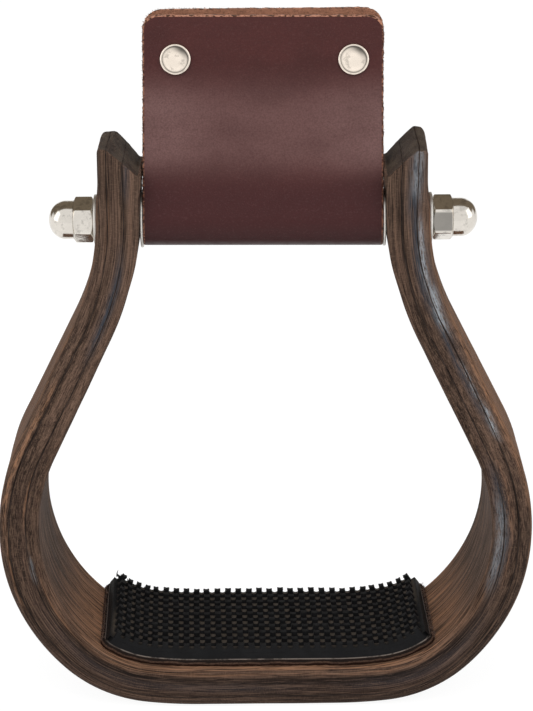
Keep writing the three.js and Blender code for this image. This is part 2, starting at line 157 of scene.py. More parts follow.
class StirrupHardware(bpy.types.PropertyGroup):
    """Sizes and colours of the cross rod, washers, nuts and rivets."""

    rod_height: size("Rod height", "Height of the cross rod's axis", 160.3)
    rod_hole: size("Rod hole", "Diameter of the hole that the rod passes", 8.6)
    washer_seat: size("Washer seat", "Diameter of the flat cut for the outer washer", 19.0)
    inner_washer: size("Inner washer", "Outside diameter of the inner washer", 18.0)
    outer_washer: size("Outer washer", "Outside diameter of the outer washer", 16.0)
    washer_thick: size("Washer thickness", "Thickness of the outer washers", 1.0)
    inner_thick: size("Inner washer thickness", "Thickness of the inner washers", 0.8)
    nut_flats: size("Nut flats", "Distance across the flats of the nut", 13.0)
    nut_hex: size("Nut hexagon", "Height of the nut's hexagon", 6.5)
    nut_height: size("Nut height", "Height of the nut with its dome", 14.5)
    nut_dome: size("Nut dome", "Diameter of the nut's dome", 12.3)
    nut_straight: size("Dome straight", "Straight part under the nut's dome", 2.6)
    nut_bore: size("Nut bore", "Depth of the blind bore in the nut", 11.0)
    left_turn: turn("Left nut turn", "How far the left nut is turned on the rod", 7.7)
    right_turn: turn("Right nut turn", "How far the right nut is turned on the rod", 3.0)
    rivet_cap: size("Rivet cap", "Diameter of a rivet's cap", 9.8)
    rivet_crown: size("Rivet crown", "Height of a rivet's cap", 1.5)
    rivet_post: size("Rivet post", "Diameter of a rivet's post", 4.2)
    nickel: colour("Nickel", "Polished nickel plate", 224, 218, 209)
    rivet: colour("Rivet", "Nickel plate of the rivets, dulled by the leather", 251, 238, 223)
    zinc: colour("Zinc", "Zinc plate of the washers, sleeve and rod", 226, 223, 217)


class StirrupCover(bpy.types.PropertyGroup):
    """Sizes and colours of the folded leather cover."""

    width: size("Width", "Width of the leather along the rod", 75.8)
    thickness: size("Thickness", "Thickness of the leather", 3.2)
    front_height: size("Front height", "Height of the front layer above the rod's axis", 64.0)
    back_height: size("Back height", "Height of the back layer above the rod's axis", 66.2)
    front_corner: size("Front corner", "Corner radius of the front layer", 4.6)
    back_corner: size("Back corner", "Corner radius of the back layer", 6.2)
    fold_radius: size("Fold radius", "Radius of the fold at the middle of the leather", 6.9)
    slit: size("Slit", "Gap between the two layers", 0.3)
    closing: turn("Closing", "Angle at which the layers come together", 7.2)
    ease_radius: size("Ease radius", "Radius where the layers turn parallel", 15.0)
    lean: turn("Lean", "How far the flap leans to the back", 12.0)
    tilt: turn("Tilt", "How far the cover hangs askew in its play on the sleeve", 0.4)
    back_slope: size("Back slope", "How much higher the back layer is on the right than on the left", 0.7)
    rivet_spacing: size("Rivet spacing", "Distance between the two rivets", 56.0)
    rivet_shift: size("Rivet shift", "How far the two rivets sit to the right of the middle", 0.45)
    rivet_height: size("Rivet height", "Height of the rivets above the rod's axis", 50.2)
    rivet_hole: size("Rivet hole", "Diameter of the rivet holes", 4.8)
    oxblood: colour("Oxblood", "Dyed grain side of the leather", 73, 34, 32)
    # A painted sheen on the middle of the leather.
    sheen_and_wear: colour("Rubbed", "Middle of the leather, rubbed lighter", 117, 86, 83)
    # A painted highlight along the rounded top edges.
    edge_highlight: colour("Edge dye", "Thin dye along the rounded edge", 196, 140, 120)
    flesh: colour("Flesh", "Raw flesh side and cut edges of the leather", 164, 116, 92)


class StirrupStage(bpy.types.PropertyGroup):
    """Camera, floor and light."""

    elevation: turn("Elevation", "Height of the camera above the horizon", 19.24)
    distance: size("Distance", "Distance from the camera to its target", 805.4)
    target_height: size("Target height", "Height of the camera's target", 114.07)
    target_across: size("Target across", "Place of the camera's target along X", 0.75)
    roll: turn("Roll", "Roll of the camera", -0.43)
    lens: FloatProperty(
        name="Lens",
        description="Focal length on a 36 mm sensor along the long side",
        default=125.84,
        unit="CAMERA",
    )
    key_power: FloatProperty(
        name="Key power",
        description="Power of the soft light in front",
        default=15.0,
        unit="POWER",
    )
    ambient: FloatProperty(
        name="Ambient",
        description="Strength of the even light from all round",
        default=0.36,
        min=0.0,
    )


# Node trees


class Nodes:
    """A node tree that is built a node at a time."""

    def __init__(self, owner):
        owner.use_nodes = True
        self.tree = owner.node_tree
        self.tree.nodes.clear()

    def give(self, target, value):
        """Sets a socket to a value, or links another socket to it."""
        if isinstance(value, bpy.types.NodeSocket):
            self.tree.links.new(value, target)
        elif target.type == "RGBA":
            target.default_value = (*value, 1.0)
        else:
            target.default_value = value

    def node(self, kind, sockets, **settings):
        """Adds a node. Sockets are given by name or number, as a value or as a socket to link."""
        made = self.tree.nodes.new(kind)
        for name, value in settings.items():
            setattr(made, name, value)
        for key, value in sockets.items():
            self.give(made.inputs[key], value)
        return made

    def window(self, value, low, high, start=0.0, end=1.0):
        """The value's range from low to high, turned smoothly into start to end."""
        sockets = {0: value, 1: low, 2: high, 3: start, 4: end}
        return self.node("ShaderNodeMapRange", sockets, interpolation_type="SMOOTHSTEP").outputs[0]

    def sums(self, operation, first, second=0.5, third=0.5):
        """An arithmetic node."""
        sockets = {0: first, 1: second, 2: third}
        return self.node("ShaderNodeMath", sockets, operation=operation).outputs[0]

    def times(self, first, second):
        """The product of two values."""
        return self.sums("MULTIPLY", first, second)

    def blend(self, share, first, second, kind="MIX"):
        """Two colours mixed by a share."""
        sockets = {0: share, 6: first, 7: second}
        return self.node("ShaderNodeMix", sockets, data_type="RGBA", blend_type=kind).outputs[2]

    def backdrop_rays(self):
        """The kinds of ray, and 1 for each ray that sees the white background."""
        kinds = self.node("ShaderNodeLightPath", {}).outputs
        seen = self.sums("MAXIMUM", kinds["Is Camera Ray"], kinds["Is Glossy Ray"])
        return kinds, self.sums("MAXIMUM", seen, kinds["Is Transmission Ray"])


class Finish(Nodes):
    """A material of one surface shader, with noise that is measured in millimetres."""

    def __init__(self, name, **sockets):
        self.material = bpy.data.materials.new(name)
        super().__init__(self.material)
        self.shader = self.node("ShaderNodeBsdfPrincipled", sockets)
        self.node("ShaderNodeOutputMaterial", {0: self.shader.outputs[0]})

    def set(self, name, value):
        """Links or sets a socket of the surface shader."""
        self.give(self.shader.inputs[name], value)

    def measure(self, name):
        """A value that the mesh holds for each point."""
        return self.node("ShaderNodeAttribute", {}, attribute_name=name).outputs["Fac"]

    def place(self, name=None):
        """The point's place: a vector that the mesh holds, or the object's own coordinates."""
        if name:
            return self.node("ShaderNodeAttribute", {}, attribute_name=name).outputs["Vector"]
        return self.node("ShaderNodeTexCoord", {}).outputs["Object"]

    def vectors(self, operation, first, second):
        """A vector arithmetic node."""
        return self.node("ShaderNodeVectorMath", {0: first, 1: second}, operation=operation).outputs[0]

    def stretched(self, place, lengths, shift=0.0):
        """A place in units of the given millimetres, shifted so that two pieces differ."""
        scaled = self.vectors("MULTIPLY", place, tuple(1 / (length * MM) for length in lengths))
        return self.vectors("ADD", scaled, (shift, shift * 1.7, shift * 2.3))

    def clouds(self, place, lengths, detail=2.0, roughness=0.5, shift=0.0):
        """Soft noise from 0 to 1, with its lengths along the three axes in millimetres."""
        sockets = {
            "Vector": self.stretched(place, lengths, shift),
            "Scale": 1.0,
            "Detail": detail,
            "Roughness": roughness,
        }
        return self.node("ShaderNodeTexNoise", sockets).outputs["Fac"]

    def cells(self, place, lengths):
        """Distance to the middle of irregular cells."""
        sockets = {"Vector": self.stretched(place, lengths), "Scale": 1.0}
        return self.node("ShaderNodeTexVoronoi", sockets).outputs["Distance"]

    def veil(self, tone, over, value, low, high, end=1.0, start=0.0, mask=None):
        """A colour laid over a tone by a value's window, and only where a mask is."""
        share = self.window(value, low, high, start, end)
        if mask is not None:
            share = self.times(mask, share)
        return self.blend(share, tone, over)

    def bump(self, height, distance, strength=1.0, below=None):
        """A relief of the given depth in metres, on top of another one."""
        sockets = {"Height": height, "Distance": distance, "Strength": strength}
        if below is not None:
            sockets["Normal"] = below
        return self.node("ShaderNodeBump", sockets).outputs[0]


# Runs of bent strips


class BentRun:
    """A symmetric run of straights and bends that starts level at its lowest point.

    Each bend is a radius and a turn in degrees, and each straight is a zero and a length. A negative
    radius turns outwards. Distances from the middle are negative on the left.
    """

    def __init__(self, start_height, bends):
        self.spans = []
        start, across, up, angle = 0.0, 0.0, start_height, 0.0
        for radius, amount in bends:
            length = abs(radius) * math.radians(amount) if radius else amount
            self.spans.append((start, radius, across, up, angle))
            across, up, angle = (float(v) for v in self.along(self.spans[-1], length))
            start += length
        self.length = start
        self.end = (across, up, angle)

    @staticmethod
    def along(span, distance):
        """Place and angle at a distance into a span."""
        _, radius, across, up, angle = span
        if not radius:
            return (
                across + distance * math.cos(angle),
                up + distance * math.sin(angle),
                angle + 0 * distance,
            )
        turned = angle + distance / radius
        return (
            across + radius * (np.sin(turned) - math.sin(angle)),
            up + radius * (math.cos(angle) - np.cos(turned)),
            turned,
        )

    def at(self, s):
        """Place across, place up and angle at distances from the middle."""
        s = np.asarray(s, float)
        distance = np.abs(s)
        across, up, angle = (np.zeros_like(s) for _ in range(3))
        for span in self.spans:
            here = distance >= span[0]
            found = self.along(span, distance - span[0])
            across, up, angle = (
                np.where(here, new, old) for new, old in zip(found, (across, up, angle))
            )
        side = np.where(s < 0, -1.0, 1.0)
        return across * side, up, angle * side

    def offset(self, s, outward):
        """Place across and up at a distance to the outside of the bend."""
        across, up, angle = self.at(s)
        return across + outward * np.sin(angle), up - outward * np.cos(angle)

    def nearest(self, across, up):
        """For each point, the distance along the run and the offset to its outside."""
        marks = np.linspace(-self.length, self.length, int(2 * self.length / (0.2 * MM)))
        run_across, run_up, angle = self.at(marks)
        tree = kdtree.KDTree(len(marks))
        for i, (a, u) in enumerate(zip(run_across, run_up)):
            tree.insert((a, u, 0), i)
        tree.balance()
        index = np.array([tree.find((a, u, 0))[1] for a, u in zip(across, up)])
        away = across - run_across[index], up - run_up[index]
        cos, sin = np.cos(angle[index]), np.sin(angle[index])
        return marks[index] + away[0] * cos + away[1] * sin, away[0] * sin - away[1] * cos


def smoothstep(value, low, high):
    """A smooth step from 0 at low to 1 at high."""
    share = np.clip((value - low) / (high - low), 0, 1)
    return share * share * (3 - 2 * share)


# The frame's run

# The wood's inner face from the middle of the tread: a level stretch and three bends, each a radius and
# a turn in degrees. They leave the flanks leaning in, and the neck bends the arms upright again.
TREAD_LEVEL = 22 * MM
TREAD_BENDS = ((137 * MM, 6.7), (32.6 * MM, 37.1), (53.1 * MM, 72.4))
FLANK_LEAN = sum(turned for _, turned in TREAD_BENDS) - 90
NECK_RADIUS = 98.7 * MM

# Heights between which the arms swell, at the neck and again at the tips.
NECK_SWELL = (138 * MM, 152 * MM)
TIP_SWELL = (170 * MM, 180 * MM)


def lower_bends(higher):
    """The bends of the tread and the flanks on a face that lies higher than the wood's inner face."""
    return [(0, TREAD_LEVEL), *((radius - higher, turned) for radius, turned in TREAD_BENDS)]


def wood_thickness(wood):
    """Thickness of the three layers and two glue lines."""
    return wood.inner_layer + wood.core_layer + wood.outer_layer + 2 * wood.glue_line


def frame_run(wood):
    """The frame's inner face, up to both arm tips."""
    floor, lean = wood_thickness(wood), math.radians(FLANK_LEAN)
    shoulder = BentRun(floor, lower_bends(0)).end[0]
    neck_inset = NECK_RADIUS * (1 - math.cos(lean))
    flank = (shoulder - neck_inset - wood.arm_gap / 2) / math.sin(lean)
    bends = [*lower_bends(0), (0, flank), (-NECK_RADIUS, FLANK_LEAN)]
    neck = wood.tip_height - BentRun(floor, bends).end[1]
    return BentRun(floor, [*bends, (0, neck)])


def arm_swell(wood, height):
    """How far the arms stand into the gap between them at a height."""
    return wood.swell * (smoothstep(height, *NECK_SWELL) + smoothstep(height, *TIP_SWELL))


def frame_half_depth(wood, height):
    """Half the depth of the wood at a height."""
    share = smoothstep(height, wood.taper_low, wood.taper_high)
    return (wood.tread_depth + (wood.neck_depth - wood.tread_depth) * share) / 2


def rounded_end(half, corner, distance):
    """Half width of a strip whose end corners are rounded."""
    left = np.clip(corner - np.maximum(distance, 0), 0, corner)
    return half - corner + np.sqrt(corner * corner - left * left)


# Meshes

# Points closer together than the first of these are one, and faces closer than the second touch.
SAME_PLACE = 1e-7
HAIR = 0.01 * MM


def new_object(name, mesh, finishes):
    """Puts a mesh in the scene with its materials."""
    made = bpy.data.objects.new(name, mesh)
    bpy.context.scene.collection.objects.link(made)
    for finish in finishes:
        mesh.materials.append(finish)
    return made


def shell(solid):
    """The outside of a block of cells: points of the lattice, faces, and each face's direction."""
    shape = np.array(solid.shape)
    padded = np.pad(solid, 1)
    faces, ways = [], []
    corners = [(0, 0), (1, 0), (1, 1), (0, 1)]
    for axis in range(3):
        others = [a for a in range(3) if a != axis]
        for way in (-1, 1):
            beyond = np.roll(padded, -way, axis)[1:-1, 1:-1, 1:-1]
            cells = np.argwhere(solid & ~beyond)
            base = cells.copy()
            base[:, axis] += way > 0
            flip = (way > 0) == (axis == 1)
            order = corners[::-1] if flip else corners
            quad = []
            for first, second in order:
                corner = base.copy()
                corner[:, others[0]] += first
                corner[:, others[1]] += second
                quad.append(np.ravel_multi_index(corner.T, shape + 1))
            faces.append(np.stack(quad, 1))
            ways.append(np.tile([axis, way], (len(cells), 1)))
    faces, ways = np.concatenate(faces), np.concatenate(ways)
    used, index = np.unique(faces, return_inverse=True)
    points = np.stack(np.unravel_index(used, shape + 1), 1)
    return points, index.reshape(faces.shape), ways


def mesh_from(name, places, faces, weld=False):
    """A closed mesh with its faces turned outwards, whose points can be welded."""
    mesh = bpy.data.meshes.new(name)
    mesh.from_pydata(np.asarray(places).tolist(), [], faces)
    tidy = bmesh.new()
    tidy.from_mesh(mesh)
    if weld:
        bmesh.ops.remove_doubles(tidy, verts=tidy.verts, dist=SAME_PLACE)
    bmesh.ops.recalc_face_normals(tidy, faces=tidy.faces)
    tidy.to_mesh(mesh)
    tidy.free()
    return mesh


def block_mesh(name, lattice):
    """A closed mesh of a block of points, each point's index in the block, and each face's direction."""
    points, faces, ways = shell(np.ones(np.array(lattice.shape[:3]) - 1, bool))
    index = tuple(points.T)
    return mesh_from(name, lattice[index], faces.tolist()), index, ways


def places_of(mesh):
    """The mesh's points as an array."""
    places = np.zeros(len(mesh.vertices) * 3)
    mesh.vertices.foreach_get("co", places)
    return places.reshape(-1, 3)


def normals_of(mesh):
    """The mesh's point normals as an array."""
    normals = np.zeros(len(mesh.vertices) * 3)
    mesh.vertices.foreach_get("normal", normals)
    return normals.reshape(-1, 3)


def move_points(mesh, places):
    """Gives the mesh's points new places."""
    mesh.vertices.foreach_set("co", np.asarray(places).ravel())
    mesh.update()


def hold(mesh, name, values):
    """Keeps a value or a vector for each point of the mesh."""
    values = np.asarray(values, np.float32)
    kind, field = ("FLOAT", "value") if values.ndim == 1 else ("FLOAT_VECTOR", "vector")
    attribute = mesh.attributes.new(name, kind, "POINT")
    attribute.data.foreach_set(field, values.ravel())


def smooth(mesh, degrees=35):
    """Smooth shading, with sharp edges kept."""
    mesh.shade_smooth()
    mesh.set_sharp_from_angle(angle=math.radians(degrees))


def settle(made):
    """Makes the object's modifiers part of its mesh."""
    depsgraph = bpy.context.evaluated_depsgraph_get()
    mesh = bpy.data.meshes.new_from_object(made.evaluated_get(depsgraph))
    made.modifiers.clear()
    old, name = made.data, made.data.name
    made.data = mesh
    bpy.data.meshes.remove(old)
    mesh.name = name


def cut(made, *cutters):
    """Cuts closed meshes out of an object."""
    for cutter in cutters:
        tool = new_object("cutter", cutter, [])
        modifier = made.modifiers.new("cut", "BOOLEAN")
        modifier.object = tool
        modifier.operation = "DIFFERENCE"
        modifier.solver = "EXACT"
        settle(made)
        bpy.data.objects.remove(tool)
        bpy.data.meshes.remove(cutter)


def ring_mesh(name, rings):
    """A closed mesh through rings of points. A ring without width is one point."""
    places, faces, index = [], [], []
    for ring in rings:
        first = len(places)
        if np.ptp(ring, axis=0).max() < SAME_PLACE:
            places.append(ring[0])
            index.append([first] * len(ring))
        else:
            places.extend(ring)
            index.append(list(range(first, first + len(ring))))
    for low, high in zip(index, index[1:]):
        for i in range(len(low)):
            j = (i + 1) % len(low)
            corners = [low[i], low[j], high[j], high[i]]
            face = [c for n, c in enumerate(corners) if c != corners[n - 1]]
            if len(face) > 2:
                faces.append(face)
    return mesh_from(name, places, faces, weld=True)


def lathe(name, profile, steps=96, axis="X"):
    """A closed mesh of revolution. The profile lists distance along the axis and radius."""
    angles = np.linspace(0, 2 * math.pi, steps, endpoint=False)
    circle = np.stack([0 * angles, np.cos(angles), np.sin(angles)], -1)
    mesh = ring_mesh(name, [circle * radius + (along, 0, 0) for along, radius in profile])
    if axis == "Y":
        mesh.transform(Matrix.Rotation(math.radians(90), 4, "Z"))
    return mesh


def wander(places, lengths, seed=0.0):
    """Soft noise from -1 to 1 at each place, with the given lengths along the three axes."""
    scaled = np.asarray(places) / np.asarray(lengths) + seed
    return np.array([noise.noise(Vector(p)) for p in scaled]) * 1.6


def fibres(name, roots, directions, lengths, radius, random):
    """Thin bent fibres as closed three-sided spikes."""
    places, faces = [], []
    for root, direction, length in zip(roots, directions, lengths):
        direction = Vector(direction).normalized()
        side = direction.orthogonal().normalized()
        other = direction.cross(side)
        bend = (side * random.normal() + other * random.normal()) * 0.35 * length
        first = len(places)
        for share, thick in ((0.0, 1.0), (0.45, 0.75), (0.8, 0.45)):
            middle = Vector(root) + direction * length * share + bend * share * share
            for k in range(3):
                angle = 2 * math.pi * k / 3
                rim = side * math.cos(angle) + other * math.sin(angle)
                places.append(middle + rim * radius * thick)
        places.append(Vector(root) + direction * length + bend)
        for ring in range(2):
            for k in range(3):
                a, b = first + 3 * ring + k, first + 3 * ring + (k + 1) % 3
                faces.append((a, b, b + 3, a + 3))
        tip = first + 9
        faces.extend((first + 6 + k, first + 6 + (k + 1) % 3, tip) for k in range(3))
        faces.append((first + 2, first + 1, first))
    mesh = bpy.data.meshes.new(name)
    mesh.from_pydata(places, [], faces)
    mesh.update()
    return mesh


# Finishes


def shaded(tone, factor):
    """A colour made darker or lighter by a factor."""
    return tuple(min(1.0, factor * c) for c in tone)


def stained_wood(name, wood, shift):
    """Dark stained wood with streaky grain along the bend, edges paler from wear and a painted highlight,
    grey residue with a painted sheen and painted glints, and painted shade beside the glue lines.
    """
    finish = Finish(name, **{"Specular IOR Level": 0.07})
    grain = finish.place("grain")
    warp = finish.clouds(grain, (30, 6, 12), shift=shift)
    bent = finish.vectors("ADD", grain, finish.vectors("MULTIPLY", warp, (0.0, 1.0 * MM, 1.4 * MM)))
    broad = finish.clouds(bent, (55, 4.0, 6.0), 3, 0.55, shift)
    bands = finish.clouds(bent, (70, 2.4, 2.6), 3, 0.6, shift + 23)
    streak = finish.clouds(bent, (50, 0.9, 1.2), 3, 0.6, shift + 3)
    fine = finish.clouds(bent, (24, 0.34, 0.42), 3, 0.65, shift + 7)
    hair = finish.clouds(bent, (11, 0.2, 0.26), 2, 0.6, shift + 11)
    # Noise of the painted glints.
    glint_noise = finish.clouds(bent, (4.5, 0.5, 0.6), 3, 0.7, shift + 29)
    specks = finish.clouds(grain, (1.3, 0.5, 0.5), 3, 0.7, shift + 17)
    dust = finish.clouds(grain, (0.4, 1.3, 1.3), 3, 0.65, shift + 19)

    tone = finish.veil(wood.dark, wood.brown, broad, 0.38, 0.62)
    tone = finish.veil(tone, wood.pale, bands, 0.5, 0.64, 0.3)
    tone = finish.veil(tone, wood.dark, bands, 0.48, 0.36, 0.4)
    tone = finish.veil(tone, wood.pale, streak, 0.5, 0.68, 0.4)
    tone = finish.veil(tone, wood.dark, streak, 0.48, 0.32, 0.5)
    tone = finish.veil(tone, wood.pale, fine, 0.51, 0.64, 0.6)
    tone = finish.veil(tone, wood.dark, fine, 0.47, 0.35, 0.65)
    tone = finish.veil(tone, wood.pale, dust, 0.52, 0.66, 0.3)
    tone = finish.veil(tone, wood.dark, dust, 0.48, 0.34, 0.4)

    tone = finish.blend(finish.times(finish.measure("lift"), 0.6), tone, wood.pale, "ADD")
    face = finish.measure("face")
    tone = finish.veil(tone, wood.dark, streak, 0.5, 0.38, 0.6, mask=face)
    tone = finish.veil(tone, wood.dark, fine, 0.5, 0.38, 0.75, mask=face)
    tone = finish.veil(tone, wood.pale, fine, 0.52, 0.64, 0.6, mask=face)
    tone = finish.blend(finish.measure("deep"), tone, paint(50, 41, 39))
    # Paler edges: wear, and a painted highlight on the rounded edges.
    sheen_and_wear = finish.times(finish.measure("worn_and_lit"), finish.window(fine, 0.36, 0.58, 0.05, 1.0))
    tone = finish.veil(tone, wood.worn_and_lit, streak, 0.36, 0.54, 1.0, 0.35, sheen_and_wear)
    # Dark stains, and painted shade beside the glue lines.
    tone = finish.veil(tone, shaded(wood.dark, 0.5), streak, 0.68, 0.48, 1.0, 0.6, finish.measure("umber_and_shade"))
    # Grey residue, partly a painted sheen on the ridges between the layers.
    tone = finish.veil(tone, wood.grey, streak, 0.34, 0.5, 1.0, 0.5, finish.measure("slate_and_sheen"))
    # Painted glints: white flecks in the grey.
    glint_noise = finish.sums("ADD", glint_noise, finish.times(specks, 0.5))
    tone = finish.veil(tone, wood.glint, glint_noise, 0.56, 0.84, mask=finish.measure("painted_highlight"))
    tone = finish.veil(tone, shaded(wood.dark, 0.35), hair, 0.46, 0.32, 0.8)
    tone = finish.veil(tone, wood.pale, hair, 0.55, 0.68, 0.6)
    finish.set("Base Color", tone)
    finish.set("Roughness", finish.window(streak, 0.3, 0.7, 0.62, 0.8))
    relief = finish.bump(fine, 0.22 * MM, 0.8)
    relief = finish.bump(streak, 0.35 * MM, 0.8, relief)
    finish.set("Normal", finish.bump(hair, 0.1 * MM, 0.6, relief))
    return finish.material


def sawn_end(name, wood):
    """Dark end grain with saw marks."""
    finish = Finish(name, **{"Specular IOR Level": 0.25, "Roughness": 0.72})
    grain = finish.place("grain")
    patches = finish.clouds(grain, (30, 3, 5), 4, 0.62)
    dots = finish.clouds(grain, (3, 0.35, 0.5), 3, 0.7, 5)
    tone = finish.veil(wood.dark, wood.end_grain, patches, 0.32, 0.68)
    tone = finish.veil(tone, wood.pale, dots, 0.5, 0.74, 0.6)
    tone = finish.veil(tone, shaded(wood.dark, 0.4), dots, 0.44, 0.28, 0.7)
    finish.set("Base Color", tone)
    relief = finish.bump(dots, 0.25 * MM, 0.8)
    finish.set("Normal", finish.bump(patches, 0.6 * MM, 0.5, relief))
    return finish.material


def dried_glue(name):
    """Dark glue at the bottom of the joint between two layers."""
    finish = Finish(name, **{"Specular IOR Level": 0.1})
    lumps = finish.clouds(finish.place("grain"), (5, 1, 2), 3, 0.6)
    finish.set("Base Color", finish.veil(paint(36, 29, 26), paint(68, 56, 50), lumps, 0.35, 0.7))
    finish.set("Roughness", finish.window(lumps, 0.3, 0.7, 0.8, 0.6))
    finish.set("Normal", finish.bump(lumps, 0.2 * MM, 0.6))
    return finish.material


def dyed_leather(name, cover):
    """Smooth dyed grain leather with a painted sheen at its middle, painted shade towards the bottom of the
    fold, and a painted highlight along its rounded top edges.
    """
    finish = Finish(name, **{"Specular IOR Level": 0.24, "Coat Weight": 0.04, "Coat Roughness": 0.3})
    place = finish.place()
    patches = finish.clouds(place, (20, 20, 12), 3, 0.5)
    mottle = finish.clouds(place, (2.0, 2.0, 1.2), 4, 0.65)
    creases = finish.clouds(place, (3.2, 3, 0.5), 3, 0.6, 9)
    pebble = finish.clouds(place, (0.7, 0.7, 0.55), 3, 0.6, 13)
    grain_cells = finish.cells(place, (0.55, 0.55, 0.5))
    dark = shaded(cover.oxblood, 0.6)
    tone = finish.veil(cover.oxblood, dark, patches, 0.3, 0.7, 0.6)
    # Painted sheen on the middle of the flap.
    tone = finish.veil(tone, cover.sheen_and_wear, patches, 0.7, 0.35, 1.0, 0.7, finish.measure("sheen_and_wear"))
    # Painted shade towards the bottom of the fold.
    tone = finish.blend(finish.times(finish.measure("low"), 0.75), tone, paint(55, 20, 22))
    tone = finish.veil(tone, dark, mottle, 0.5, 0.3, 0.14)
    tone = finish.veil(tone, dark, pebble, 0.5, 0.34, 0.22)
    tone = finish.veil(tone, cover.sheen_and_wear, pebble, 0.52, 0.7, 0.12)
    tone = finish.veil(tone, dark, grain_cells, 0.35, 0.7, 0.2)
    # Painted highlight along the rounded top edges.
    tone = finish.veil(tone, cover.edge_highlight, mottle, 0.3, 0.6, 1.0, 0.6, finish.measure("rim"))
    tone = finish.veil(tone, paint(60, 32, 30), mottle, 0.3, 0.7, 0.6, 1.0, finish.measure("side"))
    finish.set("Base Color", tone)
    finish.set("Roughness", finish.window(mottle, 0.25, 0.75, 0.42, 0.56))
    relief = finish.bump(grain_cells, 0.05 * MM, 0.6)
    relief = finish.bump(creases, 0.06 * MM, 0.6, relief)
    finish.set("Normal", finish.bump(patches, 0.4 * MM, 0.25, relief))
    return finish.material


def raw_leather(name, base):
    """Rough flesh side or loose fibres of leather."""
    finish = Finish(name, **{"Specular IOR Level": 0.12, "Sheen Weight": 0.25, "Roughness": 0.92})
    place = finish.place()
    tufts = finish.clouds(place, (0.7, 0.7, 0.55), 4, 0.75)
    clumps = finish.clouds(place, (3.5, 3.5, 2), 3, 0.6, 4)
    tone = finish.veil(shaded(base, 0.75), base, clumps, 0.3, 0.7)
    tone = finish.veil(tone, shaded(base, 0.34), tufts, 0.5, 0.3, 0.85)
    tone = finish.veil(tone, shaded(base, 1.35), tufts, 0.52, 0.76, 0.7)
    finish.set("Base Color", tone)
    relief = finish.bump(tufts, 0.45 * MM, 0.8)
    finish.set("Normal", finish.bump(clumps, 0.5 * MM, 0.4, relief))
    return finish.material


def cut_cover_edge(name, cover):
    """Cut edge of the cover: raw along the top and its corners, with a painted highlight on the front layer's
    top edge, and dyed dark down the sides.
    """
    finish = Finish(name, **{"Specular IOR Level": 0.12, "Sheen Weight": 0.15, "Roughness": 0.9})
    place = finish.place()
    tufts = finish.clouds(place, (1.3, 1.1, 0.9), 2, 0.6)
    clumps = finish.clouds(place, (3, 3, 1.6), 3, 0.6, 4)
    raw = finish.veil(shaded(cover.flesh, 0.62), cover.flesh, clumps, 0.35, 0.65)
    raw = finish.veil(raw, shaded(cover.flesh, 0.18), tufts, 0.5, 0.4, 0.95)
    raw = finish.veil(raw, shaded(cover.flesh, 1.5), tufts, 0.53, 0.63, 0.9)
    # Painted highlight on the front layer's top edge.
    raw = finish.veil(raw, cover.edge_highlight, tufts, 0.4, 0.6, 0.45, mask=finish.measure("front"))
    dyed = finish.veil(paint(72, 42, 34), paint(150, 104, 84), tufts, 0.4, 0.6)
    finish.set("Base Color", finish.blend(finish.measure("dyed"), raw, dyed))
    relief = finish.bump(tufts, 0.4 * MM, 0.8)
    finish.set("Normal", finish.bump(clumps, 0.4 * MM, 0.4, relief))
    return finish.material


def cut_pad_edge(name, base):
    """Cut edge of the tread's leather, darkened by painted shade above and below one thin pale line along it.
    """
    finish = Finish(name, **{"Specular IOR Level": 0.1, "Roughness": 0.92})
    place = finish.place()
    tufts = finish.clouds(place, (0.9, 0.7, 0.4), 3, 0.7)
    swing = finish.clouds(place, (7, 7, 7), 2, 0.5, 3)
    level = finish.sums("ADD", finish.measure("through"), finish.window(swing, 0.2, 0.8, -0.15, 0.15))
    line = finish.sums("COMPARE", level, 0.52, 0.15)
    # Painted shade: the edge is dark above and below its thin pale line.
    tone = finish.veil(paint(42, 26, 19), paint(33, 26, 23), level, 0.3, 0.45)
    tone = finish.veil(tone, shaded(base, 1.1), tufts, 0.36, 0.58, 1.0, 0.35, line)
    finish.set("Base Color", tone)
    finish.set("Normal", finish.bump(tufts, 0.35 * MM, 0.8))
    return finish.material


def moulded_rubber(name, tread):
    """Black moulded rubber with a painted highlight on the web tops and floors between the pins, and a
    whitish line at its foot.
    """
    finish = Finish(name, **{"Specular IOR Level": 0.1})
    place = finish.place()
    dust = finish.clouds(place, (5, 5, 5), 4, 0.6)
    skin = finish.clouds(place, (0.5, 0.5, 0.5), 3, 0.7, 3)
    worn_line = finish.clouds(place, (4, 4, 1000), 3, 0.65, 11)
    tone = finish.veil(tread.rubber, shaded(tread.rubber, 1.4), dust, 0.35, 0.72)
    facing = finish.node("ShaderNodeNewGeometry", {}).outputs["True Normal"]
    facing = finish.node("ShaderNodeSeparateXYZ", {0: facing}).outputs["Z"]
    # Painted highlight: up-facing web tops and floors between the pins made lighter.
    painted_highlight = finish.times(finish.measure("painted_highlight"), finish.window(facing, 0.45, 0.75))
    tone = finish.veil(tone, paint(78, 70, 62), skin, 0.3, 0.6, 1.0, 0.5, painted_highlight)
    backing = finish.measure("backing")
    tone = finish.veil(tone, paint(138, 128, 120), worn_line, 0.4, 0.56, 1.0, 0.25, backing)
    finish.set("Base Color", tone)
    finish.set("Roughness", finish.window(skin, 0.3, 0.7, 0.5, 0.68))
    relief = finish.bump(skin, 0.06 * MM, 0.6)
    finish.set("Normal", finish.bump(dust, 0.3 * MM, 0.3, relief))
    return finish.material


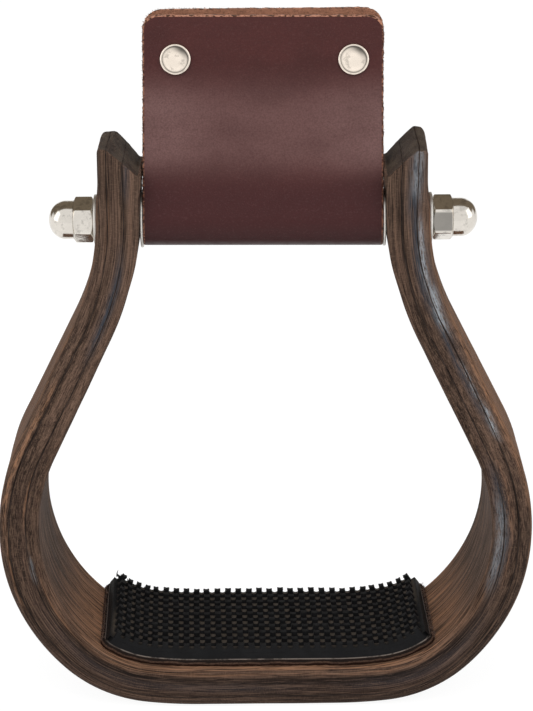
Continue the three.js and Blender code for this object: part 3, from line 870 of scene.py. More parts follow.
def plated_metal(name, base, roughness, dents, scratches, smudges=0.0):
    """Plated metal with soft dents, fine scratches, dull spots and dark smudges."""
    finish = Finish(name, **{"Metallic": 1.0})
    place = finish.place()
    waves = finish.clouds(place, (4, 4, 4), 2, 0.5)
    pits = finish.clouds(place, (0.45, 0.45, 0.45), 3, 0.65, 2)
    lines = finish.clouds(place, (6, 0.2, 0.25), 2, 0.6, 6)
    smudge_and_shade = finish.clouds(place, (2.6, 2.6, 2.6), 4, 0.65, 8)
    tone = finish.veil(base, shaded(base, 0.45), pits, 0.42, 0.26, 0.4)
    tone = finish.veil(shaded(base, 0.93), tone, waves, 0.4, 0.65)
    # Held darkening: painted shade in a rivet's groove, a painted contact shadow at its foot and a painted
    # reflection on its dome, and a dull front flat on the right nut.
    smudged_and_shaded = finish.sums("MAXIMUM", finish.window(smudge_and_shade, 0.5, 0.64, 0, smudges), finish.measure("smudge_and_shade"))
    tone = finish.blend(smudged_and_shaded, tone, shaded(base, 0.09))
    finish.set("Base Color", tone)
    dull = finish.window(pits, 0.3, 0.72, roughness * 0.8, roughness * 1.5)
    finish.set("Roughness", finish.sums("ADD", dull, finish.window(lines, 0.55, 0.8, 0, scratches)))
    relief = finish.bump(waves, dents, 0.6)
    finish.set("Normal", finish.bump(lines, 0.01 * MM, 0.5, relief))
    return finish.material


def threaded_zinc(name, base):
    """Zinc plated rod with a thread cut along it."""
    finish = Finish(name, **{"Metallic": 1.0})
    place = finish.place()
    sockets = {"Vector": finish.stretched(place, (1.25, 1000, 1000)), "Scale": 0.5}
    thread = finish.node("ShaderNodeTexWave", sockets, wave_type="BANDS", bands_direction="X")
    stains = finish.clouds(place, (3, 2, 2), 3, 0.6)
    finish.set("Base Color", finish.blend(stains, shaded(base, 0.6), base))
    finish.set("Roughness", finish.window(stains, 0.3, 0.7, 0.26, 0.42))
    finish.set("Normal", finish.bump(thread.outputs["Fac"], 0.35 * MM, 0.9))
    return finish.material


# Wood frame

TIP_SHEAR_FROM = 168 * MM
TIP_ROUND = 0.7 * MM
TIP_THINNER = 0.8 * MM

# Heights between which the inner edges lose most of their rounding, and between which the outer layer
# gets thinner towards the tips.
ROUND_FADES = (118 * MM, 146 * MM)
TIP_THINS = (164 * MM, 176 * MM)

# The arm tips are cut by hand: height of the top, width of the inner bevel and its fall, on the front
# edge and on the back edge of each tip.
TIP_CUTS = {
    -1: ((186.2 * MM, 9.8 * MM, 8.5 * MM), (186.2 * MM, 7.2 * MM, 8.3 * MM)),
    1: ((184.9 * MM, 8.8 * MM, 8.0 * MM), (187.2 * MM, 8.8 * MM, 9.0 * MM)),
}

# Where a layer meets a glue line, in millimetres: depth below the joint and how far the edge is sunk.
# The dried glue lies a little below the wood, and each of the two lines wanders by its own seed.
GLUE_GROOVE = ((0.0, 0.1), (0.25, 0.05), (0.6, 0.01), (1.0, 0.0))
GLUE_SUNK = 0.06 * MM
GLUE_SEEDS = (0.0, 4.0)

# Marks on the front edge, in millimetres: distance along the run, offset from the inner face, half length
# and half width, and then the strength. Distances are negative on the left arm. The first kind is grey
# residue and partly a painted sheen, the second holds painted glints, the third holds dark stains and painted
# shade beside the glue lines, and the last is wear and, on the rounded outer edges, a painted highlight.
MARKS = {
    "slate_and_sheen": (
        (-181, 4.5, 18, 1.3, 1.0),
        (-226, 3.2, 9, 1.0, 0.7),
        (-30, 5.6, 40, 1.6, 0.25),
        (50, 5.4, 24, 1.8, 0.3),
        (94, 3.6, 9, 2.0, 0.75),
        (113, 3.2, 11, 1.6, 0.7),
        (160, 8.2, 24, 0.8, 1.0),
        (198, 7.8, 22, 1.1, 1.0),
        (220, 8.0, 12, 1.9, 1.0),
        (182, 10.4, 22, 1.8, 0.5),
    ),
    "painted_highlight": (
        (-91, 3.7, 4, 0.5, 0.5),
        (98, 2.6, 14, 1.7, 0.45),
        (136, 9.7, 6, 0.8, 1.0),
        (150, 9.4, 7, 0.6, 0.6),
        (177, 9.9, 9, 1.2, 1.0),
        (196, 9.5, 14, 0.9, 1.0),
        (226, 9.0, 9, 1.6, 0.55),
    ),
    "umber_and_shade": (
        (-222, 9.1, 6, 0.9, 0.8),
        (-158, 9.1, 22, 0.6, 0.8),
        (-114, 6.0, 14, 2.8, 0.45),
        (-92, 3.5, 16, 2.0, 0.5),
        (-72, 8.6, 18, 1.3, 0.55),
        (-42, 3.0, 42, 0.7, 0.9),
        (40, 3.0, 42, 0.8, 0.95),
        (-40, 8.3, 40, 0.5, 0.7),
        (52, 8.1, 40, 0.6, 0.75),
        (82, 1.0, 9, 1.6, 0.7),
        (190, 4.1, 38, 0.5, 0.8),
        (104, 9.0, 16, 0.7, 0.7),
    ),
    "tan": (
        (-209, 9.3, 10, 0.45, 0.6),
        (-121, 11.2, 17, 0.7, 1.0),
        (-140, 10.7, 10, 0.6, 0.8),
        (-112, 5.0, 7, 0.35, 0.8),
        (-92, 10.4, 12, 0.5, 0.55),
        (104, 6.3, 17, 0.4, 0.8),
        (142, 12.5, 34, 0.8, 0.9),
    ),
}


def tip_height(outward, y, side, wood):
    """Height of the cut arm tip at an offset from the inner face and a place front to back."""
    share = np.clip(0.5 + y / wood.neck_depth, 0, 1)
    front, back = TIP_CUTS[side]
    top, bevel, fall = (f + (b - f) * share for f, b in zip(front, back))
    inside = np.clip((bevel - outward) / bevel, 0, 1) ** 1.12
    outside = np.clip((outward - (wood_thickness(wood) - 2.2 * MM)) / (1.4 * MM), 0, 1) ** 2
    return top - fall * inside - 1.3 * MM * outside


def glue_shift(s, y, seed, wood):
    """How far a glue line wanders from its even place."""
    places = np.stack([s, y, np.full_like(s, seed)], -1)
    shape = s.shape
    flat = places.reshape(-1, 3)
    slow = wander(flat, (60 * MM, 30 * MM, 1.0), 3.1)
    quick = wander(flat, (22 * MM, 14 * MM, 1.0), 8.7)
    return (0.75 * slow + 0.15 * quick).reshape(shape) * wood.glue_wander


def layer_profile(low, high, low_round, high_round):
    """Rows of a layer's section from its inner to its outer face: offset, inset, and share through it."""
    turns = np.radians(np.linspace(0, 90, 8))

    def corner(radius):
        """Depth and inset of a rounded edge or, without a radius, of the groove at a glue line."""
        if radius:
            return [(radius * (1 - math.cos(t)), radius * (1 - math.sin(t))) for t in turns]
        return [(depth * MM, inset * MM) for depth, inset in GLUE_GROOVE]

    rows = [(low + depth, inset) for depth, inset in corner(low_round)]
    upper = [(high - depth, inset) for depth, inset in corner(high_round)]
    gap = upper[-1][0] - rows[-1][0]
    steps = max(int(gap / (0.8 * MM)), 1)
    rows += [(rows[-1][0] + gap * k / steps, 0.0) for k in range(1, steps)]
    offsets, insets = np.array([*rows, *upper[::-1]]).T
    apart = np.concatenate([[True], np.diff(offsets) > 1e-6])
    offsets, insets = offsets[apart], insets[apart]
    return offsets, insets, (offsets - low) / (high - low)


def wood_strip(name, wood, low, high, low_round=0.0, high_round=0.0, seeds=(None, None), sunk=0.0):
    """One layer of the frame as a closed mesh, its square arm tips sheared into the cut ones."""
    run = frame_run(wood)
    if sunk:
        offsets, insets, through = np.array([(low, high), (sunk, sunk), (0.0, 1.0)])
    else:
        offsets, insets, through = layer_profile(low, high, low_round, high_round)
    tips = run.length - np.array([0.0, 0.04, 0.14, 0.3, 0.5, 0.72]) * MM
    inner = np.linspace(-1, 1, int(2 * run.length / (1.5 * MM))) * (run.length - 1.2 * MM)
    stations = np.unique(np.concatenate([-tips, inner, tips]))
    spread = np.sin(np.radians(np.linspace(-90, 90, 15)))
    s, offset, t = np.meshgrid(stations, offsets, spread, indexing="ij")
    inset = np.broadcast_to(insets[None, :, None], s.shape)
    share = np.broadcast_to(through[None, :, None], s.shape)

    left = np.clip(TIP_ROUND - (run.length - np.abs(s)), 0, TIP_ROUND)
    eased = TIP_ROUND - np.sqrt(TIP_ROUND**2 - left**2)
    _, up, _ = run.at(s)
    if low_round:
        sharper = 1 - 0.8 * smoothstep(up, *ROUND_FADES)
        inset = inset * np.where(offset < low + low_round, sharper, 1.0)
    y = t * (frame_half_depth(wood, up) - inset - eased)
    if low_round:
        offset = offset + (eased - arm_swell(wood, up)) * (1 - share)
    if high_round:
        offset = offset - (eased + TIP_THINNER * smoothstep(up, *TIP_THINS)) * share
    for seed, part in zip(seeds, (1 - share, share)):
        if seed is not None:
            offset = offset + glue_shift(s, y, seed, wood) * part

    x, z = run.offset(s, offset)
    for side in (-1, 1):
        top = tip_height(offset, y, side, wood) - sunk
        raised = (z - TIP_SHEAR_FROM) / (wood.tip_height - TIP_SHEAR_FROM)
        sheared = TIP_SHEAR_FROM + raised * (top - TIP_SHEAR_FROM)
        z = np.where((z > TIP_SHEAR_FROM) & (np.sign(s) == side), sheared, z)
    mesh, _, ways = block_mesh(name, np.stack([x, y, z], -1))
    return mesh, ways, run


def roughen_wood(mesh, wood, run, low, high, seed):
    """Small unevenness of hand sanding on the faces that show, always towards the inside."""
    places, normals = places_of(mesh), normals_of(mesh)
    s, offset = run.nearest(places[:, 0], places[:, 2])
    grain = np.stack([s, offset, places[:, 1]], -1)
    half = frame_half_depth(wood, places[:, 2])
    inside = smoothstep(np.minimum(offset - low, high - offset), -HAIR, 0.5 * MM)
    edge_on = smoothstep(np.abs(places[:, 1]), half - 0.6 * MM, half - 0.2 * MM)
    face_on = 0.0
    if low < HAIR:
        face_on = 1 - smoothstep(places[:, 2], 136 * MM, 148 * MM)
    elif high > wood_thickness(wood) - HAIR:
        face_on = 1.0
    free = np.clip(edge_on * inside + face_on * (1 - edge_on) * 0.6, 0, 1)
    waves = wander(grain, (22 * MM, 5 * MM, 9 * MM), seed) * 0.5 + 0.5
    lines = wander(grain, (15 * MM, 0.9 * MM, 1.3 * MM), seed + 5) * 0.5 + 0.5
    depth = free * (0.28 * MM * np.clip(waves, 0, 1) + 0.12 * MM * np.clip(lines, 0, 1))
    move_points(mesh, places - normals * depth[:, None])


def edge_marks(s, offset, y, wood, glue_lines):
    """How strong each kind of mark is at each point, with painted shade beside the glue lines added to the
    dark marks.
    """
    marks = {}
    for kind, patches in MARKS.items():
        found = np.zeros_like(s)
        for *patch, strength in patches:
            middle, across, length, width = (value * MM for value in patch)
            bent = across + 0.25 * width * np.sin((s - middle) / (0.35 * length))
            spot = np.exp(-(((s - middle) / length) ** 4 + ((offset - bent) / width) ** 2))
            found = np.maximum(found, strength * spot)
        marks[kind] = found * (y < 0)
    flat = np.stack([s, y, 0 * s], -1)
    # A dark band beside each glue line: the dark joint, and painted shade in the groove there.
    for middle, seed in glue_lines:
        drift = glue_shift(s, y, seed, wood)
        width = (0.7 + 0.3 * wander(flat, (18 * MM, 30 * MM, 1.0), seed)) * MM
        amount = 0.35 + 0.4 * wander(flat, (24 * MM, 20 * MM, 1.0), seed + 2)
        dim = np.exp(-(((offset - middle - drift) / width) ** 2)) * np.clip(amount, 0.05, 0.8)
        marks["umber_and_shade"] = np.maximum(marks["umber_and_shade"], dim)
    return marks


def wear_and_highlight(s, offset, to_edge, on_edge, tread, wood):
    """How far the stain wears off beside the mat, and how much paler the round-over along the front edge, the
    tread's top front corner and the arms' rounded outer edges get: partly wear, partly a painted highlight.
    """
    # The first three are painted highlights as well as wear: the round-over along the front edge, mostly on
    # the tread, the tread's top corner facing up, and the arms' rounded outer edges. Beside the mat it is
    # wear.
    line = np.exp(-(((offset - 1.75 * MM) / (0.35 * MM)) ** 2)) * smoothstep(to_edge, 3 * MM, 1.6 * MM)
    top = smoothstep(offset, 1.3 * MM, 0.5 * MM) * smoothstep(to_edge, 8 * MM, 2 * MM)
    from_outside = wood_thickness(wood) - offset
    outer = smoothstep(from_outside, 0.9 * MM, 0.2 * MM) * smoothstep(np.abs(s), 60 * MM, 90 * MM)
    near_mat = smoothstep(offset, 1.0 * MM, 0.2 * MM) * smoothstep(np.abs(s), 84 * MM, 58 * MM)
    sheen_and_wear = (
        line * (0.1 + 0.8 * tread),
        0.35 * top * tread,
        outer * np.where(s > 0, 0.7, 0.45),
        0.9 * near_mat * (1 - on_edge),
    )
    return np.maximum.reduce(sheen_and_wear)


def hold_grain(mesh, wood, run, glue_lines):
    """Keeps each point's place in the grain, and how pale, dark or grey the wood is there: wear with painted
    highlights, painted sheen and glints, and painted shade beside the glue lines.
    """
    places = places_of(mesh)
    s, offset = run.nearest(places[:, 0], places[:, 2])
    y = places[:, 1]
    hold(mesh, "grain", np.stack([s, offset, y], -1))

    to_edge = frame_half_depth(wood, places[:, 2]) - np.abs(y)
    on_edge = smoothstep(to_edge, 2.2 * MM, 0.6 * MM)
    tread = smoothstep(np.abs(s), 98 * MM, 74 * MM)
    hold(mesh, "deep", tread * (0.12 + 0.13 * smoothstep(offset, 2.0 * MM, 2.6 * MM)) * on_edge)

    face = (1 - on_edge) * smoothstep(offset, 1.0 * MM, 0.2 * MM)
    left = smoothstep(s, -95 * MM, -150 * MM)
    right = smoothstep(s, 105 * MM, 140 * MM)
    inside = smoothstep(offset, 4.5 * MM, 3.0 * MM)
    outside = smoothstep(offset, 8.2 * MM, 9.6 * MM)
    lift = left * (0.18 + 0.24 * inside) + right * (0.2 - 0.14 * inside + 0.1 * outside)
    hold(mesh, "lift", lift * on_edge + 0.3 * face)
    hold(mesh, "face", face)

    marks = edge_marks(s, offset, y, wood, glue_lines)
    marks = {kind: np.clip(found * on_edge, 0, 1) for kind, found in marks.items()}
    # Wear with painted highlights on the rounded edges, joined by the tan marks.
    sheen_and_wear = wear_and_highlight(s, offset, to_edge, on_edge, tread, wood)
    hold(mesh, "worn_and_lit", np.clip(np.maximum(sheen_and_wear, marks.pop("tan")), 0, 1))
    for kind, found in marks.items():
        hold(mesh, kind, found)


class STIRRUP_OT_wood_layers(bpy.types.Operator):
    """Bend the three wood layers and the two glue lines between them"""

    bl_idname = "stirrup.wood_layers"
    bl_label = "Wood Layers"
    bl_options = {"REGISTER", "UNDO"}

    def execute(self, context):
        wood, metal = context.scene.stirrup_wood, context.scene.stirrup_hardware
        core = wood.inner_layer + wood.glue_line
        core_top = core + wood.core_layer
        outer = core_top + wood.glue_line
        thick = wood_thickness(wood)
        edge = wood.edge_round
        near, far = GLUE_SEEDS
        lines = [(core - wood.glue_line / 2, near), (outer - wood.glue_line / 2, far)]
        layers = (
            ("wood_inner", "wood_inner_layer", "wood_face", 0.0, wood.inner_layer, edge, 0.0, (None, near)),
            ("wood_core", "wood_core_layer", "wood_core", core, core_top, 0.0, 0.0, (near, far)),
            ("wood_outer", "wood_outer_layer", "wood_face", outer, thick, 0.0, edge, (far, None)),
        )
        end = sawn_end("sawn_end_grain", wood)
        for number, (name, node, slot, low, high, low_round, high_round, seeds) in enumerate(layers):
            mesh, ways, run = wood_strip(name, wood, low, high, low_round, high_round, seeds)
            mesh.polygons.foreach_set("material_index", (ways[:, 0] == 0).astype(np.int32))
            roughen_wood(mesh, wood, run, low, high, 2.0 + number)
            finish = stained_wood(f"stained_{name}", wood, 1.3 + 2.9 * number)
            layer = new_object(name, mesh, [finish, end])
            self.drill(layer, wood, metal)
            hold_grain(layer.data, wood, run, lines)
            smooth(layer.data, 38)
            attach(layer, "frame")
            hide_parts(node)
        glue = dried_glue("dark_glue")
        for name, low, seed in (
            ("inner_glue_line", wood.inner_layer, near),
            ("outer_glue_line", core_top, far),
        ):
            high = low + wood.glue_line - HAIR
            mesh, _, run = wood_strip(name, wood, low + HAIR, high, seeds=(seed, seed), sunk=GLUE_SUNK)
            film = new_object(name, mesh, [glue])
            self.drill(film, wood, metal)
            hold_grain(film.data, wood, run, [])
            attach(film, "frame")
        return {"FINISHED"}

    @staticmethod
    def drill(layer, wood, metal):
        """Drills both arms for the rod and cuts the seats of the outer washers."""
        reach = wood.arm_gap / 2 + 2 * wood_thickness(wood)
        outside = wood.arm_gap / 2 + wood_thickness(wood)
        height = Matrix.Translation((0, 0, metal.rod_height))
        hole = metal.rod_hole / 2
        tools = [lathe("hole", [(-reach, 0), (-reach, hole), (reach, hole), (reach, 0)], 48)]
        if layer.name == "wood_outer":
            seat = metal.washer_seat / 2
            for side in (-1, 1):
                a, b = side * outside, side * reach
                tools.append(lathe("seat", [(a, 0), (a, seat), (b, seat), (b, 0)], 64))
        for tool in tools:
            tool.transform(height)
        cut(layer, *tools)


# Tread

# Section of the leather pad's edge: height as a share of the pad's, and inset in millimetres.
PAD_EDGE = ((0.015, 0.1), (0.125, 0.0), (0.4, 0.0), (0.7, 0.03), (0.9, 0.14), (1.0, 0.36))


class STIRRUP_OT_tread_pad(bpy.types.Operator):
    """Lay the raw leather pad on the tread"""

    bl_idname = "stirrup.tread_pad"
    bl_label = "Tread Pad"
    bl_options = {"REGISTER", "UNDO"}

    def execute(self, context):
        wood, tread = context.scene.stirrup_wood, context.scene.stirrup_tread
        run = frame_run(wood)
        half_length, half_depth, corner = tread.pad_half_length, tread.pad_half_depth, tread.pad_corner
        turns = np.radians(np.linspace(0, 90, 9))
        ends = half_length - corner * (1 - np.sin(turns))
        middle = np.linspace(-(half_length - corner), half_length - corner, 90)
        stations = np.unique(np.round(np.concatenate([-ends, middle, ends]), 7))
        shares, insets = np.array(PAD_EDGE).T
        spread = np.sin(np.radians(np.linspace(-90, 90, 13)))
        s, height, t = np.meshgrid(stations, shares * tread.pad_top, spread, indexing="ij")
        inset = np.broadcast_to(insets[None, :, None] * MM, s.shape)
        half = rounded_end(half_depth, corner, half_length - np.abs(s))
        y = t * (half - inset)
        s = s * (1 - inset / half_length) - tread.skew * y
        x, z = run.offset(s, -height)
        mesh, index, ways = block_mesh("tread_pad", np.stack([x, y + tread.set_back, z], -1))
        places, normals = places_of(mesh), normals_of(mesh)
        reach = np.abs(places[:, 1] - tread.set_back) / half_depth
        reach = np.maximum(reach, np.abs(places[:, 0]) / (55 * MM))
        rough = wander(places, (0.9 * MM, 0.9 * MM, 0.5 * MM), 2.0) * smoothstep(reach, 0.9, 1.0)
        move_points(mesh, places + normals * (rough * 0.14 * MM)[:, None])
        hold(mesh, "through", height[index] / tread.pad_top)
        mesh.polygons.foreach_set("material_index", (ways[:, 0] != 1).astype(np.int32))
        top = raw_leather("raw_pad_leather", tread.pad)
        side = cut_pad_edge("cut_pad_edge", tread.pad)
        pad = new_object("tread_pad", mesh, [top, side])
        smooth(mesh, 50)
        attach(pad, "frame")
        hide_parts("tread_leather")
        self.loose_fibres(tread, run)
        return {"FINISHED"}

    @staticmethod
    def loose_fibres(tread, run):
        """Loose fibres at both ends of the pad."""
        random = np.random.default_rng(11)
        roots, ways, lengths = [], [], []
        for _ in range(420):
            y = (random.random() * 2 - 1) * (tread.pad_half_depth - 1.6 * MM)
            s = np.sign(random.random() - 0.3) * (tread.pad_half_length - random.random() * 0.6 * MM)
            s = np.array([s - tread.skew * y])
            across, up = run.offset(s, -random.random() * tread.pad_top)
            angle, side = run.at(s)[2][0], float(np.sign(s[0]))
            lift = random.random() * 0.6
            outward = Vector((math.cos(angle), 0, math.sin(angle))) * side
            outward += Vector((-math.sin(angle), 0, math.cos(angle))) * lift
            roots.append((across[0], y + tread.set_back, up[0]))
            ways.append(outward + Vector((0, random.normal() * 0.4, 0)))
            lengths.append((0.4 + 0.9 * random.random()) * MM)
        mesh = fibres("pad_edge_fibres", roots, ways, lengths, 0.1 * MM, random)
        loose = raw_leather("loose_pad_fibres", shaded(tread.pad, 1.9))
        tuft = new_object("pad_edge_fibres", mesh, [loose])
        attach(tuft, "frame")


def mat_columns(tread, half_length):
    """Places along the mat, and what each stretch between them is: rim, pin or web."""
    half_pin, gap = tread.pin_width / 2, tread.pin_pitch - tread.pin_width
    first = -tread.pin_pitch * (tread.pin_columns - 1) / 2
    columns, kinds = [-half_length], ["rim"]
    for column in range(tread.pin_columns):
        middle = first + column * tread.pin_pitch
        if column:
            columns += [columns[-1] + gap * share for share in (0.22, 0.5, 0.78)]
            kinds += ["web"] * 4
        columns += [middle - half_pin, middle, middle + half_pin]
        kinds += ["pin", "pin"]
    return np.array([*columns, half_length]), np.array([*kinds, "rim"])


def mat_rows(tread):
    """Places on the mat from front to back, and what each stretch between them is: gap or pin."""
    half_pin = tread.pin_depth / 2
    rows, kinds = [-tread.mat_half_depth], []
    for row in range(tread.pin_rows):
        middle = (row - (tread.pin_rows - 1) / 2) * tread.row_pitch
        rows += [middle - half_pin, middle, middle + half_pin]
        kinds += ["gap", "pin", "pin"]
    return np.array([*rows, tread.mat_half_depth]), np.array([*kinds, "gap"])


def nearest_pin(place, pitch, count):
    """Index and middle of the pin that is nearest to each place along a row or a column."""
    first = -pitch * (count - 1) / 2
    pin = np.clip(np.round((place - first) / pitch).astype(int), 0, count - 1)
    return pin, first + pin * pitch


class STIRRUP_OT_pin_mat(bpy.types.Operator):
    """Mould the black rubber mat with its rows of pins"""

    bl_idname = "stirrup.pin_mat"
    bl_label = "Pinned Mat"
    bl_options = {"REGISTER", "UNDO"}

    def execute(self, context):
        wood, tread = context.scene.stirrup_wood, context.scene.stirrup_tread
        random = np.random.default_rng(5)
        top = tread.mat_top
        face = BentRun(wood_thickness(wood) + tread.mat_low, lower_bends(tread.mat_low))
        bottom = frame_run(wood)
        _, _, end_angle = bottom.at(tread.mat_half_length)
        marks = np.linspace(0, face.length, 4000)
        half_length = float(np.interp(end_angle, face.at(marks)[2], marks))

        columns, column_kind = mat_columns(tread, half_length)
        rows, row_kind = mat_rows(tread)
        in_row = (row_kind == "pin")[None, :]
        solid = np.zeros((len(columns) - 1, len(rows) - 1, 5), bool)
        solid[:, :, :3] = True
        solid[:, :, 3] = in_row & (column_kind != "rim")[:, None]
        solid[:, :, 4] = in_row & (column_kind == "pin")[:, None]
        points, faces, _ = shell(solid)
        level = points[:, 2]
        low = tread.pad_top + 0.04 * MM
        line = low + 0.3 * MM
        levels = [low, line, line + 0.12 * MM, top, top + tread.web_height, top + tread.pin_height]
        uneven = self.uneven_pins(tread, columns[points[:, 0]], rows[points[:, 1]], level, random)
        s, y, height = uneven[0], uneven[1], np.choose(level, levels) + uneven[2]

        rim_row = np.abs(y) > tread.mat_half_depth - HAIR
        half = rounded_end(tread.mat_half_depth, tread.mat_corner, half_length - np.abs(s))
        y = np.where(rim_row, np.sign(y) * half, y)
        x, z = face.offset(s - tread.skew * y, tread.mat_low - height)
        mesh = mesh_from("pin_mat", np.stack([x, y + tread.set_back, z], -1), faces.tolist())
        rubber = moulded_rubber("black_moulded_rubber", tread)
        mat = new_object("pin_mat", mesh, [rubber])
        bevel = mat.modifiers.new("soft_edges", "BEVEL")
        bevel.width = 0.1 * MM
        bevel.segments = 2
        bevel.limit_method = "ANGLE"
        bevel.angle_limit = math.radians(40)
        settle(mat)
        self.hold_lit_tops(mat.data, tread, bottom, line)
        smooth(mat.data, 50)
        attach(mat, "frame")
        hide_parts("tread_mat")
        self.torn_strands(tread, face, half_length, rubber, random)
        return {"FINISHED"}

    @staticmethod
    def uneven_pins(tread, s, y, level, random):
        """Moulding marks of the pins and webs: new places, and how much higher each point gets."""
        half_pin, gap = tread.pin_width / 2, tread.pin_pitch - tread.pin_width
        column, middle_s = nearest_pin(s, tread.pin_pitch, tread.pin_columns)
        row, middle_y = nearest_pin(y, tread.row_pitch, tread.pin_rows)
        from_pin, from_row = np.abs(s - middle_s), np.abs(y - middle_y)
        sag = np.where(from_pin < half_pin + 0.4 * gap, 0.0, -0.1 * MM)
        sag = np.where(from_pin < half_pin + 0.1 * gap, 0.25 * MM, sag)
        at_corner = (from_pin > 0.1 * half_pin).astype(int) + (from_row > 0.1 * tread.pin_depth)
        horn = np.choose(at_corner, [-0.2 * MM, -0.1 * MM, 0.08 * MM])
        grid = (tread.pin_columns, tread.pin_rows)
        taller = random.normal(size=grid) * 0.12 * MM
        lean_s, lean_y = random.normal(size=(2, *grid)) * 0.14 * MM
        wider = 1.12
        on_top = level == 5
        rise = np.where(level == 4, sag, 0.0) + np.where(on_top, horn + taller[column, row], 0.0)
        s = np.where(on_top, middle_s + (s - middle_s) * wider + lean_s[column, row], s)
        y = np.where(on_top, middle_y + (y - middle_y) * wider + lean_y[column, row], y)
        return s, y, rise

    @staticmethod
    def hold_lit_tops(mesh, tread, bottom, line):
        """Keeps where the web tops and floors between the pins get a painted highlight, and where the whitish
        line at the foot is.
        """
        places = places_of(mesh)
        along, outward = bottom.nearest(places[:, 0], places[:, 2])
        raised = -outward
        depth = places[:, 1] - tread.set_back
        to_edge = tread.mat_half_depth - np.abs(depth)
        web_top = tread.mat_top + tread.web_height
        # Painted highlight at and below the web tops, weaker towards the front rows.
        lit_tops = smoothstep(raised, web_top + 0.5 * MM, web_top) * smoothstep(to_edge, 0.2 * MM, 0.5 * MM)
        lit_tops = lit_tops * smoothstep(np.abs(along), 54.8 * MM, 54.4 * MM)
        hold(mesh, "painted_highlight", lit_tops * (0.35 + 0.65 * smoothstep(depth, -20 * MM, -17 * MM)))
        backing = smoothstep(raised, line + 0.1 * MM, line) * smoothstep(to_edge, 0.5 * MM, 0.2 * MM)
        hold(mesh, "backing", backing)

    @staticmethod
    def torn_strands(tread, face, half_length, rubber, random):
        """Torn rubber strands at the mat's back left corner."""
        roots, ways, lengths = [], [], []
        for _ in range(22):
            along = -half_length + (0.2 + random.random() ** 1.5 * 14) * MM
            y = tread.mat_half_depth - (0.5 + 2.2 * random.random()) * MM
            height = tread.mat_top - 0.2 * MM + random.random() * tread.pin_height * 0.6
            x, z = face.offset(np.array([along - tread.skew * y]), np.array([tread.mat_low - height]))
            roots.append((x[0], y + tread.set_back, z[0]))
            ways.append((random.normal() * 0.25, random.normal() * 0.25, 1.0))
            lengths.append((0.8 + 1.5 * random.random()) * MM)
        mesh = fibres("torn_mat_strands", roots, ways, lengths, 0.32 * MM, random)
        strands = new_object("torn_mat_strands", mesh, [rubber])
        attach(strands, "frame")


# Cross rod


def soft_least(first, second, softness):
    """The smaller of two values, with a rounded change from one to the other."""
    share = np.clip(0.5 + 0.5 * (second - first) / softness, 0, 1)
    return second + (first - second) * share - softness * share * (1 - share)


def nut_mesh(name, metal):
    """Acorn nut along +X with its seat at 0, soft hexagon edges and a blind bore."""
    angles = np.linspace(0, 2 * math.pi, 192, endpoint=False)
    flat, bore, dome = metal.nut_flats / 2, metal.rod_hole / 2, metal.nut_dome / 2
    corner = flat / math.cos(math.radians(30))
    slope = math.tan(math.radians(30))
    softness = 0.16 * MM
    hexagon = flat / np.cos(angles % (math.pi / 3) - math.pi / 6)
    hexagon = soft_least(hexagon, corner - 0.12 * MM, softness)

    seat_rim, dome_rim = flat * 0.93, flat * 0.95
    rise = (corner - seat_rim) * slope + 0.2 * MM

    def cone(rim, share):
        """The hexagon, its corners cut by a cone that gets wider from a rim."""
        return soft_least(hexagon, rim + rise * share / slope, softness)

    straight = metal.nut_hex + metal.nut_straight
    crown = metal.nut_height - straight
    turns = np.radians(np.linspace(0, 86, 16))
    profile = [
        (metal.nut_bore, 0.0),
        (metal.nut_bore, bore * 0.9),
        (metal.nut_bore - 0.5 * MM, bore),
        (0.3 * MM, bore),
        (0.0, bore + 0.3 * MM),
        (0.0, flat * 0.9),
        *((rise * share, cone(seat_rim, share)) for share in np.linspace(0, 1, 12)),
        *((rise + (metal.nut_hex - 2 * rise) * share, hexagon) for share in np.linspace(0.05, 0.95, 5)),
        *((metal.nut_hex - rise * share, cone(dome_rim, share)) for share in np.linspace(1, 0, 14)),
        (metal.nut_hex, dome + 0.12 * MM),
        (metal.nut_hex + 0.1 * MM, dome + 0.02 * MM),
        (metal.nut_hex + 0.25 * MM, dome),
        *((straight + crown * math.sin(turned), dome * math.cos(turned)) for turned in turns),
        (metal.nut_height, 0.0),
    ]
    circle = np.stack([0 * angles, np.sin(angles), np.cos(angles)])
    return ring_mesh(name, [(circle * radius).T + (along, 0, 0) for along, radius in profile])


def washer_mesh(name, outside, inside, low, high):
    """A stamped washer along X with rounded rims."""
    rim, burr = 0.25 * MM, 0.1 * MM
    profile = [
        (low, inside + burr),
        (low, outside - rim),
        (low + rim * 0.3, outside - rim * 0.3),
        (low + rim, outside),
        (high - rim, outside),
        (high - rim * 0.3, outside - rim * 0.3),
        (high, outside - rim),
        (high, inside + burr),
        (high - burr, inside),
        (low + burr, inside),
        (low, inside + burr),
    ]
    return lathe(name, profile, 96)


